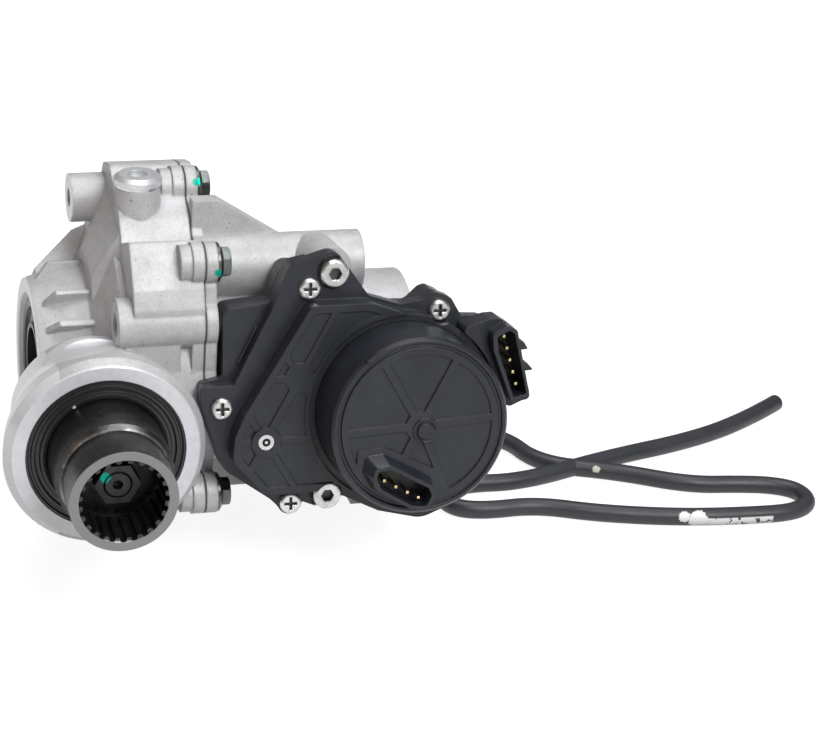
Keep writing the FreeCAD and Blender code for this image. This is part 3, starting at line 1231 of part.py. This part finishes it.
def thrust_washers():
    left = tube(18.0, carrier_bore + 0.2, AXLE + X * cavity_left_x, X, 1.3)
    right = tube(18.0, carrier_bore + 0.2, AXLE + X * (cavity_right_x - 1.3), X, 1.3)
    return [left, right]


left_seal_x = left_face_x + 2.0

save("main_case", main_case())
save("side_cover", side_cover())
save("case_gasket", case_gasket())
save("cover_bolts", cover_bolts())
save("dowel_pins", dowel_pins())
save("fill_plug", fill_plug())
save("fill_plug_washer", fill_plug_washer())
save("drain_plug", drain_plug())
save("input_seal", input_seal())
save("output_seal_left", output_seal(AXLE + X * left_seal_x, X))
save("output_seal_right", output_seal(AXLE + X * right_face_x, -X))
save("input_bearing", input_bearing())
save("carrier_bearings", carrier_bearings())
save("output_bearing", output_bearing())
save("breather_fitting", breather_fitting())
save("vent_hose", vent_hose())
save("hose_clip", hose_clip())
save("actuator_rear_housing", actuator_rear_housing())
save("actuator_gasket", actuator_gasket())
save("actuator_gear_cover", actuator_gear_cover())
save("motor_cover", motor_cover())
save("drive_motor", drive_motor())
save("gear_pins", gear_pins())
save("actuator_shaft_seal", actuator_shaft_seal())
save("actuator_mount_screws", actuator_mount_screws())
save("cover_screws", cover_screws())
save("five_pin_connector", five_pin_connector())
save("connector_terminals", connector_terminals())
save("input_coupling", input_coupling())
save("coupling_nut", coupling_nut())
save("coupling_washer", coupling_washer())
save("pinion_shaft", pinion_shaft())
save("input_inner_race", input_inner_race())
save("diff_carrier", diff_carrier())
save("carrier_cap", carrier_cap())
save("ring_gear", ring_gear())
save("ring_gear_bolts", ring_gear_bolts())
save("cross_pin", cross_pin())
save("carrier_inner_races", carrier_inner_races())
save("thrust_washers", thrust_washers())
save("side_gear_left", side_gear_left())
save("side_gear_right", side_gear_right())
save("output_inner_race", output_inner_race())
save("spider_gear_upper", spider_gear(1))
save("spider_gear_lower", spider_gear(-1))
save("lock_collar", lock_collar())
save("shift_fork", shift_fork())
save("shift_rail", shift_rail())
save("motor_rotor", motor_rotor())
save("motor_pinion", motor_pinion())
save("idler_gear", idler_gear())
save("reduction_gear", reduction_gear())
save("output_gear", output_gear())
save("shift_shaft", shift_shaft())
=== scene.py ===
import json
import math

import bpy
from mathutils import Matrix, Vector


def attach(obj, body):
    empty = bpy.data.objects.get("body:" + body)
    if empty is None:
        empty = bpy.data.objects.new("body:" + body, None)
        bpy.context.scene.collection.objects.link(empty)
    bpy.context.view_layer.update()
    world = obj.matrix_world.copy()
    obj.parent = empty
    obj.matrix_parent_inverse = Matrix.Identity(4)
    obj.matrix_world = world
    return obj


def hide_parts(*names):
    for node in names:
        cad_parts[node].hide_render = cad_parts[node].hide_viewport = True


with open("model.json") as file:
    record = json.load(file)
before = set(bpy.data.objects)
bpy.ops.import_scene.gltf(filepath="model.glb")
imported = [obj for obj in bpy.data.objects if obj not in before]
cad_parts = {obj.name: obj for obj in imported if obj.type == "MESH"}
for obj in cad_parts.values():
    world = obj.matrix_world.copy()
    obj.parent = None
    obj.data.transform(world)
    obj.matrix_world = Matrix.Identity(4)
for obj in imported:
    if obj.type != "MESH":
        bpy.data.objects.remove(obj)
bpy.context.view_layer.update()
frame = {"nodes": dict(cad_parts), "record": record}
nodes = frame["nodes"]
scene = bpy.context.scene

MM = 0.001
ALONG_X = (1.0, 0.0, 0.0)
ALONG_Y = (0.0, 1.0, 0.0)
ALONG_Z = (0.0, 0.0, 1.0)

# Directions and middle of the shift actuator, which leans a little, in millimetres
ACTUATOR = (130.0, 21.5, 14.8)
UPWARD = (0.0, 0.15643, 0.98769)
OUTWARD = (0.0, -0.98769, 0.15643)


def metres(place):
    return tuple(c * MM for c in place)


def on_actuator(u, v, w):
    """Point in millimetres from the actuator's own directions: across, upward and outward."""
    return tuple(base + u * across + v * up + w * out
                 for base, across, up, out in zip(ACTUATOR, ALONG_X, UPWARD, OUTWARD))


# Camera at the photograph's viewing angle

FOCAL_PIXELS = 2500.0
IMAGE_WIDTH = 816
SENSOR = 36.0
YAW, PITCH, ROLL = (math.radians(a) for a in (17.44, 24.40, 4.09))
EYE = Vector((-162.8, -887.1, 471.7)) * MM


def make_camera():
    level_right = Vector((math.cos(YAW), -math.sin(YAW), 0))
    ahead = Vector((math.sin(YAW) * math.cos(PITCH), math.cos(YAW) * math.cos(PITCH), -math.sin(PITCH)))
    level_up = level_right.cross(ahead)
    right = math.cos(ROLL) * level_right + math.sin(ROLL) * level_up
    up = -math.sin(ROLL) * level_right + math.cos(ROLL) * level_up
    data = bpy.data.cameras.new("camera")
    data.sensor_width = SENSOR
    data.lens = FOCAL_PIXELS / IMAGE_WIDTH * SENSOR
    data.clip_start = 0.01
    data.clip_end = 50
    camera = bpy.data.objects.new("camera", data)
    scene.collection.objects.link(camera)
    camera.matrix_world = Matrix((
        (right.x, up.x, -ahead.x, EYE.x),
        (right.y, up.y, -ahead.y, EYE.y),
        (right.z, up.z, -ahead.z, EYE.z),
        (0, 0, 0, 1)))
    scene.camera = camera


make_camera()


# Materials

class Graph:
    """Short names for building a material's nodes."""

    def __init__(self, name):
        self.material = bpy.data.materials.new(name)
        self.material.use_nodes = True
        self.tree = self.material.node_tree
        self.shader = self.tree.nodes["Principled BSDF"]
        coordinates = self.tree.nodes.new("ShaderNodeTexCoord")
        self.place = coordinates.outputs["Object"]

    def link(self, source, target):
        self.tree.links.new(source, target)

    def give(self, socket, value):
        """Sets a number, a colour or a direction on the socket, or links another node's output to it."""
        if isinstance(value, (int, float, tuple)):
            socket.default_value = value
        else:
            self.link(value, socket)

    def math(self, operation, a, b=None):
        node = self.tree.nodes.new("ShaderNodeMath")
        node.operation = operation
        self.give(node.inputs[0], a)
        if b is not None:
            self.give(node.inputs[1], b)
        return node.outputs[0]

    def weighted(self, *terms):
        """Sum of values, each times its weight."""
        products = [self.math("MULTIPLY", value, weight) for value, weight in terms]
        return self.math("ADD", *products)

    def noise(self, scale, detail=4.0, rough=0.6):
        node = self.tree.nodes.new("ShaderNodeTexNoise")
        node.inputs["Scale"].default_value = scale
        node.inputs["Detail"].default_value = detail
        node.inputs["Roughness"].default_value = rough
        self.link(self.place, node.inputs["Vector"])
        return node.outputs["Fac"]

    def ramp(self, factor, low, high, to_low=0.0, to_high=1.0):
        node = self.tree.nodes.new("ShaderNodeMapRange")
        limits = {"From Min": low, "From Max": high, "To Min": to_low, "To Max": to_high}
        for name, value in limits.items():
            node.inputs[name].default_value = value
        self.link(factor, node.inputs["Value"])
        return node.outputs["Result"]

    def mix(self, factor, a, b):
        node = self.tree.nodes.new("ShaderNodeMix")
        node.data_type = "RGBA"
        self.link(factor, node.inputs["Factor"])
        for socket, value in ((node.inputs[6], a), (node.inputs[7], b)):
            self.give(socket, (*value, 1) if isinstance(value, tuple) else value)
        return node.outputs[2]

    def blend(self, factor, a, b):
        """Number that goes from a to b with the factor."""
        node = self.tree.nodes.new("ShaderNodeMix")
        node.data_type = "FLOAT"
        self.link(factor, node.inputs["Factor"])
        self.give(node.inputs[2], a)
        self.give(node.inputs[3], b)
        return node.outputs[0]

    def axes(self):
        node = self.tree.nodes.new("ShaderNodeSeparateXYZ")
        self.link(self.place, node.inputs[0])
        return node.outputs

    def vector(self, operation, a, b=None):
        node = self.tree.nodes.new("ShaderNodeVectorMath")
        node.operation = operation
        self.give(node.inputs[0], a)
        if b is not None:
            self.give(node.inputs[1], b)
        is_number = operation in ("LENGTH", "DISTANCE", "DOT_PRODUCT")
        return node.outputs["Value" if is_number else "Vector"]

    def fade(self, value, full, none):
        """1 where the value has reached full, 0 where it has reached none, both in millimetres."""
        return self.ramp(value, none * MM, full * MM)

    def around(self, base, direction):
        """Distance from the line through the base, which is in millimetres."""
        offset = self.vector("SUBTRACT", self.place, metres(base))
        return self.vector("LENGTH", self.vector("CROSS_PRODUCT", offset, direction))

    def spot(self, centre, radius, soft=0.4):
        """Patch with a broken edge round a point, in millimetres."""
        distance = self.vector("DISTANCE", self.place, metres(centre))
        unevenness = self.math("MULTIPLY", self.noise(900.0, 3.0), 0.8 * radius * MM)
        ragged = self.math("ADD", distance, unevenness)
        edge = 1.4 * radius
        return self.fade(ragged, edge - soft, edge + soft)

    def spots(self, places):
        """Patches at several points, each given as centre and radius."""
        return self.either([self.spot(centre, radius) for centre, radius in places])

    def either(self, masks):
        result = masks[0]
        for mask in masks[1:]:
            result = self.math("MAXIMUM", result, mask)
        return result

    def both(self, a, b):
        return self.math("MULTIPLY", a, b)

    def marked(self, colour, roughness, marks):
        """Lays marks, each a mask with its colour and roughness, over a finish."""
        for mask, tint, gloss in (marks(self) if marks else []):
            colour = self.mix(mask, colour, tint)
            roughness = self.blend(mask, roughness, gloss)
        return colour, roughness

    def bump(self, height, distance, under):
        node = self.tree.nodes.new("ShaderNodeBump")
        node.inputs["Distance"].default_value = distance
        node.inputs["Strength"].default_value = 1.0
        self.link(height, node.inputs["Height"])
        self.link(under, node.inputs["Normal"])
        return node.outputs[0]

    def soft_edges(self, radius):
        node = self.tree.nodes.new("ShaderNodeBevel")
        node.samples = 4
        self.give(node.inputs["Radius"], radius)
        return node.outputs[0]

    def finish(self, colour, roughness, normal, metallic):
        self.link(colour, self.shader.inputs["Base Color"])
        self.link(roughness, self.shader.inputs["Roughness"])
        self.link(normal, self.shader.inputs["Normal"])
        self.shader.inputs["Metallic"].default_value = metallic
        return self.material


def plain(name, light, dark, rough, rough_spread, metallic, patch=60.0, grain=2500.0, depth=0.00002,
          edge=0.0003, marks=None):
    """A finish with patchy colour and roughness, a fine grain, and painted or machined marks on top."""
    g = Graph(name)
    patches = g.noise(patch, 5.0)
    fine = g.noise(grain, 2.0)
    speckle = g.weighted((patches, 0.7), (fine, 0.3))
    colour = g.mix(g.ramp(speckle, 0.35, 0.65), dark, light)
    roughness = g.ramp(g.noise(patch * 2.3, 4.0), 0.3, 0.7, rough - rough_spread, rough + rough_spread)
    colour, roughness = g.marked(colour, roughness, marks)
    normal = g.bump(fine, depth, g.soft_edges(edge))
    return g.finish(colour, roughness, normal, metallic)


CAST_DARK = (0.43, 0.425, 0.42)
CAST_LIGHT = (0.59, 0.595, 0.62)
CAST_PIT = (0.30, 0.295, 0.29)
MACHINED_DULL = (0.68, 0.695, 0.73)
MACHINED_BRIGHT = (0.76, 0.775, 0.82)
MACHINED_ROUGHNESS = 0.30
TOOL_MARKS = 14000.0


def alloy(name, machined, marks=None):
    """Cast alloy: sandy skin and soft edges, with bright turned faces where the casting is machined."""
    g = Graph(name)
    patches = g.weighted((g.noise(38.0, 5.0), 0.5), (g.noise(210.0, 4.0), 0.5))
    sand = g.noise(1100.0, 3.0, 0.7)
    pits = g.noise(420.0, 2.0)
    speckle = g.weighted((patches, 0.6), (sand, 0.4))
    colour = g.mix(g.ramp(speckle, 0.37, 0.63), CAST_DARK, CAST_LIGHT)
    colour = g.mix(g.ramp(pits, 0.68, 0.75), colour, CAST_PIT)
    faces = machined(g)
    bright = g.mix(g.ramp(g.noise(260.0, 3.0), 0.3, 0.7), MACHINED_DULL, MACHINED_BRIGHT)
    colour = g.mix(faces, colour, bright)
    cast_roughness = g.ramp(g.noise(90.0, 4.0), 0.3, 0.7, 0.44, 0.58)
    roughness = g.blend(faces, cast_roughness, MACHINED_ROUGHNESS)
    colour, roughness = g.marked(colour, roughness, marks)
    skin = g.weighted((sand, 0.7), (pits, 0.6))
    turned = g.math("SINE", g.math("MULTIPLY", g.around((0, 0, 0), ALONG_Y), TOOL_MARKS))
    height = g.blend(faces, skin, g.math("MULTIPLY", turned, 0.03))
    edges = g.soft_edges(g.blend(faces, 0.0014, 0.0004))
    return g.finish(colour, roughness, g.bump(height, 0.00014, edges), 0.22)


def case_faces(g):
    """Turned rims of nose and left boss, and the spot-faced ends of upper mount, filler and front mount."""
    x, y, z = g.axes()
    nose = g.fade(y, 44.0, 44.6)
    left_boss = g.fade(x, -19.8, -19.3)
    upper = g.both(g.fade(x, 0.1, 0.5), g.fade(g.around((0, 152, 74), ALONG_X), 11.5, 12.5))
    filler = g.both(g.fade(z, 90.9, 90.5), g.fade(g.around((25, 120, 0), ALONG_Z), 10.0, 11.0))
    front = g.both(g.fade(x, 9.1, 9.4), g.fade(g.around((0, 80, 43), ALONG_X), 9.6, 10.0))
    return g.either([nose, left_boss, upper, filler, front])


def cover_faces(g):
    """Turned end of the mounting tube and rim of the right output."""
    x = g.axes()[0]
    tube = g.both(g.fade(x, 121.4, 121.0), g.fade(g.around((0, 105, 57.8), ALONG_X), 13.7, 14.5))
    right_rim = g.fade(x, 151.8, 151.4)
    return g.either([tube, right_rim])


def milled_land(g):
    """Smoother, brighter oval on top of the nose."""
    x, y, z = g.axes()
    across = g.math("DIVIDE", g.math("ADD", x, 8 * MM), 15.5 * MM)
    along = g.math("DIVIDE", g.math("SUBTRACT", y, 71 * MM), 18.0 * MM)
    reach = g.math("ADD", g.math("MULTIPLY", across, across), g.math("MULTIPLY", along, along))
    oval = g.both(g.ramp(reach, 1.05, 0.9), g.fade(z, 27.0, 25.0))
    return [(oval, (0.66, 0.67, 0.69), 0.38)]


PAINT = (0.0, 0.36, 0.27)
PAINT_ROUGHNESS = 0.45


def cover_paint(g):
    """Paint dots beside two flange bolts and the upper actuator screw."""
    places = [((51.1, 122.5, 90.4), 1.6), ((51.4, 73.4, 67.6), 1.6), ((107.5, 64.5, 74.5), 1.8)]
    return [(g.spots(places), PAINT, PAINT_ROUGHNESS)]


def bolt_paint(g):
    """Paint dots on two flange bolts and on the nut inside the coupling."""
    places = [((52.2, 122.5, 90.4), 1.8), ((52.2, 73.4, 66.8), 1.8), ((-5.2, 15.9, 3.6), 2.2)]
    return [(g.spots(places), PAINT, PAINT_ROUGHNESS)]


def coupling_faces(g):
    """Brighter turned mouth and a worn shoulder on the dark coupling."""
    y = g.axes()[1]
    shoulder = g.both(g.fade(y, 19.7, 19.2), g.fade(y, 20.3, 20.8))
    worn = g.both(shoulder, g.ramp(g.noise(120.0), 0.45, 0.6))
    mouth = g.fade(y, 0.25, 0.6)
    return [(worn, (0.24, 0.235, 0.23), 0.3), (mouth, (0.23, 0.23, 0.24), 0.42)]


def hose_paint(g):
    """Worn white paint on the lower strand and a trace where the strands cross."""
    x, y, z = g.axes()
    blob = g.either([g.spot((277.0, 65.6, -63.4), 3.0, 0.2), g.spot((283.5, 64.8, -65.2), 4.6, 0.2)])
    stretch = g.both(g.fade(x, 286, 285), g.fade(x, 320, 321))
    flank = g.both(g.fade(z, -64.9, -64.4), g.fade(y, 70, 71))
    worn = g.both(g.both(stretch, flank), g.ramp(g.noise(230.0, 3.0), 0.40, 0.43))
    trace = g.spot((251.5, 118.4, -63.0), 2.4, 0.2)
    return [(g.either([blob, worn]), (0.86, 0.86, 0.86), 0.55), (trace, (0.60, 0.60, 0.50), 0.6)]


def seal_dot(g):
    """Pale dot on the face of the input seal."""
    return [(g.spot((-13.5, 44.3, 22.2), 0.8, 0.2), (0.85, 0.85, 0.80), 0.4)]


def shaft_end_shade_and_glint(g):
    """Painted shade and a painted glint on the end of the shift shaft: a dark disc for its shaded centre
    bore, with a bright point in its middle.
    """
    distance = g.around(on_actuator(-61, -11, -26), OUTWARD)
    # The dark disc is painted shade and the bright point is a painted glint.
    bore_shade = g.fade(distance, 1.7, 1.9)
    point = g.fade(distance, 0.5, 0.8)
    return [(bore_shade, (0.02, 0.02, 0.02), 0.5), (point, (0.6, 0.6, 0.6), 0.2)]


def screw_recess_shade(g):
    """Painted shade in the recesses of the screw heads, darker than the zinc around them."""
    base = sum(a * b for a, b in zip(ACTUATOR, OUTWARD)) * MM
    depth = g.math("SUBTRACT", g.vector("DOT_PRODUCT", g.place, OUTWARD), base)
    small = [(-40.3, 53.4), (17.6, 41.2), (-78.4, 2.4), (-48.1, -42.1)]
    large = [(-29.8, 60.0), (-32.0, -39.0)]
    near_small = g.either([g.fade(g.around(on_actuator(u, v, 0), OUTWARD), 2.8, 3.0) for u, v in small])
    near_large = g.either([g.fade(g.around(on_actuator(u, v, 0), OUTWARD), 3.0, 3.2) for u, v in large])
    # Both marks are painted shade, darkening the recessed centres of the heads.
    cross_shade = g.both(near_small, g.fade(depth, -33.7, -33.5))
    socket_shade = g.both(near_large, g.fade(depth, -33.2, -32.4))
    return [(cross_shade, (0.08, 0.08, 0.08), 0.5), (socket_shade, (0.10, 0.11, 0.11), 0.5)]


cast_alloy = alloy("cast_alloy", case_faces, milled_land)
cover_alloy = alloy("cover_alloy", cover_faces, cover_paint)
black_plastic = plain("black_plastic", (0.024, 0.027, 0.036), (0.014, 0.016, 0.022), 0.34, 0.06, 0.0,
                      60.0, 3000.0, 0.00004, 0.0006)
black_plastic.node_tree.nodes["Principled BSDF"].inputs["Specular IOR Level"].default_value = 0.45
rubber = plain("rubber", (0.026, 0.026, 0.028), (0.013, 0.013, 0.014), 0.36, 0.08, 0.0, 50.0, 2000.0, 0.00004,
               marks=seal_dot)
hose_rubber = plain("hose_rubber", (0.040, 0.042, 0.051), (0.026, 0.028, 0.034), 0.44, 0.07, 0.0,
                    30.0, 1200.0, 0.00004, marks=hose_paint)
dark_steel = plain("dark_steel", (0.16, 0.175, 0.165), (0.06, 0.066, 0.062), 0.30, 0.08, 0.9, 150.0,
                   marks=bolt_paint)
zinc = plain("zinc", (0.74, 0.74, 0.73), (0.50, 0.50, 0.49), 0.28, 0.08, 0.95, 200.0,
             edge=0.0011, marks=screw_recess_shade)
plug_zinc = plain("plug_zinc", (0.74, 0.76, 0.78), (0.60, 0.61, 0.63), 0.40, 0.07, 0.6, 120.0)
# Painted shade: a much darker copy of the steels for the parts that sit deep in the coupling's cup.
cup_shade_steel = plain("cup_shade_steel", (0.050, 0.053, 0.054), (0.018, 0.020, 0.020), 0.42, 0.08, 0.7, 90.0,
                  marks=bolt_paint)
bright_steel = plain("bright_steel", (0.70, 0.70, 0.71), (0.50, 0.50, 0.51), 0.26, 0.08, 0.95, 150.0,
                     marks=shaft_end_shade_and_glint)
forged_steel = plain("forged_steel", (0.080, 0.077, 0.078), (0.032, 0.031, 0.032), 0.31, 0.08, 0.85, 70.0,
                     marks=coupling_faces)
gear_steel = plain("gear_steel", (0.36, 0.36, 0.36), (0.22, 0.22, 0.22), 0.30, 0.07, 0.95, 90.0)
dark_iron = plain("dark_iron", (0.14, 0.14, 0.145), (0.08, 0.08, 0.083), 0.5, 0.08, 0.6, 60.0)
brass = plain("brass", (0.75, 0.60, 0.33), (0.50, 0.38, 0.20), 0.25, 0.07, 1.0, 200.0)
gear_plastic = plain("gear_plastic", (0.74, 0.73, 0.69), (0.62, 0.61, 0.57), 0.45, 0.06, 0.0, 60.0)
gasket = plain("gasket", (0.10, 0.10, 0.10), (0.05, 0.05, 0.05), 0.7, 0.07, 0.0, 60.0)

FINISH = {
    "cast_alloy": cast_alloy, "cover_alloy": cover_alloy, "gasket_grey": gasket,
    "bolt_zinc_black": dark_steel, "nut_steel": dark_steel, "screw_zinc": zinc, "clip_steel": zinc,
    "plug_steel": plug_zinc, "pin_steel": bright_steel, "bearing_steel": bright_steel,
    "washer_alloy": bright_steel, "gear_steel": gear_steel, "motor_steel": gear_steel,
    "forged_steel": forged_steel, "carrier_iron": dark_iron, "terminal_brass": brass,
    "seal_rubber": rubber, "hose_rubber": hose_rubber, "gear_plastic": gear_plastic,
    "housing_plastic": black_plastic, "cover_plastic": black_plastic,
    "motor_cover_plastic": black_plastic, "connector_plastic": black_plastic,
}
# The nut, washer and pinion shaft in the coupling take this darker steel as painted shade instead of their
# own finish.
SHADED_IN_CUP = ("coupling_nut", "coupling_washer", "pinion_shaft")
for part in frame["record"]["subparts"]:
    node = nodes[part["node"]]
    node.data.materials.clear()
    node.data.materials.append(cup_shade_steel if part["node"] in SHADED_IN_CUP else FINISH[part["material_slot"]])


# Lip that closes the seam of the actuator housing beside the reduction gear

def make_seam_lip():
    corners = [(-69.3, 19.9), (-61.3, 35.7), (-62.6, 36.4), (-70.6, 20.6)]
    low, high = -43.1, -41.2
    points = [metres(on_actuator(u, v, w)) for w in (low, high) for u, v in corners]
    sides = [(0, 1, 5, 4), (1, 2, 6, 5), (2, 3, 7, 6), (3, 0, 4, 7)]
    mesh = bpy.data.meshes.new("seam_lip")
    mesh.from_pydata(points, [], [(3, 2, 1, 0), (4, 5, 6, 7), *sides])
    mesh.materials.append(black_plastic)
    lip = bpy.data.objects.new("seam_lip", mesh)
    scene.collection.objects.link(lip)
    edge = lip.modifiers.new("rounded", "BEVEL")
    edge.width = 0.5 * MM
    edge.segments = 3
    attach(lip, "housing")


make_seam_lip()


# Vent hose

HOSE_RADIUS = 4.25
FLOOR = -70.0
LIE = FLOOR + HOSE_RADIUS + 0.05
HOSE = [
    (119, 136, -56), (152, 136, -56), (186, 172, LIE), (219, 166, LIE), (227, 133, LIE), (262, 120, LIE),
    (293, 101, LIE), (318, 98, LIE), (334, 94.5, LIE), (344.5, 87, LIE), (344.5, 74, LIE), (334, 67, LIE),
    (318, 66, LIE), (280, 69, LIE), (240, 79, LIE), (212, 92, LIE), (187, 90, LIE), (172, 95, LIE),
    (170, 110, LIE), (184, 118, LIE), (214, 116, LIE), (262, 134, LIE), (312, 147, LIE), (349, 165, LIE),
    (374, 183, LIE)]


def make_hose():
    data = bpy.data.curves.new("breather_hose", "CURVE")
    data.dimensions = "3D"
    spline = data.splines.new("NURBS")
    spline.points.add(len(HOSE) - 1)
    for point, place in zip(spline.points, HOSE):
        point.co = (*metres(place), 1)
    spline.order_u = 3
    spline.use_endpoint_u = True
    spline.resolution_u = 12
    data.bevel_depth = HOSE_RADIUS * MM
    data.bevel_resolution = 6
    data.use_fill_caps = True
    hose = bpy.data.objects.new("breather_hose", data)
    scene.collection.objects.link(hose)
    data.materials.append(hose_rubber)
    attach(hose, "housing")
    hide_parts("vent_hose")


make_hose()


# Floor and lights

def camera_white(tree, under, amount):
    """Adds a white glow that the camera and reflections see and that lights nothing."""
    path = tree.nodes.new("ShaderNodeLightPath")
    seen = tree.nodes.new("ShaderNodeMath")
    seen.operation = "MAXIMUM"
    tree.links.new(path.outputs["Is Camera Ray"], seen.inputs[0])
    tree.links.new(path.outputs["Is Glossy Ray"], seen.inputs[1])
    scaled = tree.nodes.new("ShaderNodeMath")
    scaled.operation = "MULTIPLY"
    scaled.inputs[1].default_value = amount
    tree.links.new(seen.outputs[0], scaled.inputs[0])
    glow = tree.nodes.new("ShaderNodeEmission")
    tree.links.new(scaled.outputs[0], glow.inputs["Strength"])
    total = tree.nodes.new("ShaderNodeAddShader")
    tree.links.new(under, total.inputs[0])
    tree.links.new(glow.outputs[0], total.inputs[1])
    return total.outputs[0]


FLOOR_HALF = 12.0
FLOOR_GREY = 0.32
FLOOR_GLOW = 0.88
WORLD_STRENGTH = 0.20


def make_floor():
    corners = [(-FLOOR_HALF, -FLOOR_HALF), (FLOOR_HALF, -FLOOR_HALF), (FLOOR_HALF, FLOOR_HALF),
               (-FLOOR_HALF, FLOOR_HALF)]
    mesh = bpy.data.meshes.new("floor")
    mesh.from_pydata([(x, y, FLOOR * MM) for x, y in corners], [], [(0, 1, 2, 3)])
    floor = bpy.data.objects.new("floor", mesh)
    scene.collection.objects.link(floor)
    g = Graph("floor")
    g.shader.inputs["Base Color"].default_value = (FLOOR_GREY, FLOOR_GREY, FLOOR_GREY, 1)
    g.shader.inputs["Roughness"].default_value = 0.9
    output = g.tree.nodes["Material Output"]
    g.link(camera_white(g.tree, g.shader.outputs[0], FLOOR_GLOW), output.inputs["Surface"])
    mesh.materials.append(g.material)


def make_lamp(name, place, target, size, power, tint=(1, 1, 1)):
    data = bpy.data.lights.new(name, "AREA")
    data.shape = "RECTANGLE"
    data.size = size[0]
    data.size_y = size[1]
    data.energy = power
    data.color = tint
    lamp = bpy.data.objects.new(name, data)
    scene.collection.objects.link(lamp)
    direction = (Vector(target) - Vector(place)).normalized()
    lamp.rotation_euler = direction.to_track_quat("-Z", "Y").to_euler()
    lamp.location = place


def make_world():
    """Pale studio with a warm, dimmer left side; the camera sees plain white."""
    world = bpy.data.worlds.new("studio")
    scene.world = world
    world.use_nodes = True
    tree = world.node_tree
    background = tree.nodes["Background"]
    background.inputs["Strength"].default_value = WORLD_STRENGTH
    direction = tree.nodes.new("ShaderNodeTexCoord")
    parts = tree.nodes.new("ShaderNodeSeparateXYZ")
    tree.links.new(direction.outputs["Generated"], parts.inputs[0])
    side = tree.nodes.new("ShaderNodeMapRange")
    side.inputs["From Min"].default_value = -0.8
    side.inputs["From Max"].default_value = 0.3
    tree.links.new(parts.outputs[0], side.inputs["Value"])
    blend = tree.nodes.new("ShaderNodeMix")
    blend.data_type = "RGBA"
    tree.links.new(side.outputs["Result"], blend.inputs["Factor"])
    blend.inputs[6].default_value = (0.50, 0.42, 0.33, 1)
    blend.inputs[7].default_value = (0.95, 0.97, 1.0, 1)
    tree.links.new(blend.outputs[2], background.inputs["Color"])
    white = tree.nodes.new("ShaderNodeBackground")
    white.inputs["Color"].default_value = (1, 1, 1, 1)
    white.inputs["Strength"].default_value = 1.0
    path = tree.nodes.new("ShaderNodeLightPath")
    mixer = tree.nodes.new("ShaderNodeMixShader")
    tree.links.new(path.outputs["Is Camera Ray"], mixer.inputs[0])
    tree.links.new(background.outputs[0], mixer.inputs[1])
    tree.links.new(white.outputs[0], mixer.inputs[2])
    tree.links.new(mixer.outputs[0], tree.nodes["World Output"].inputs[0])


make_floor()
make_world()
make_lamp("key", (0.45, -1.0, 1.15), (0.05, 0.08, 0), (0.8, 0.8), 21)
make_lamp("top", (0.1, 0.35, 1.5), (0.08, 0.1, 0), (1.0, 1.0), 12.5)
make_lamp("fill", (-1.0, -1.0, 0.4), (0.0, 0.05, 0), (0.9, 0.9), 2.5, (1.0, 0.86, 0.72))

scene.view_settings.view_transform = "Standard"
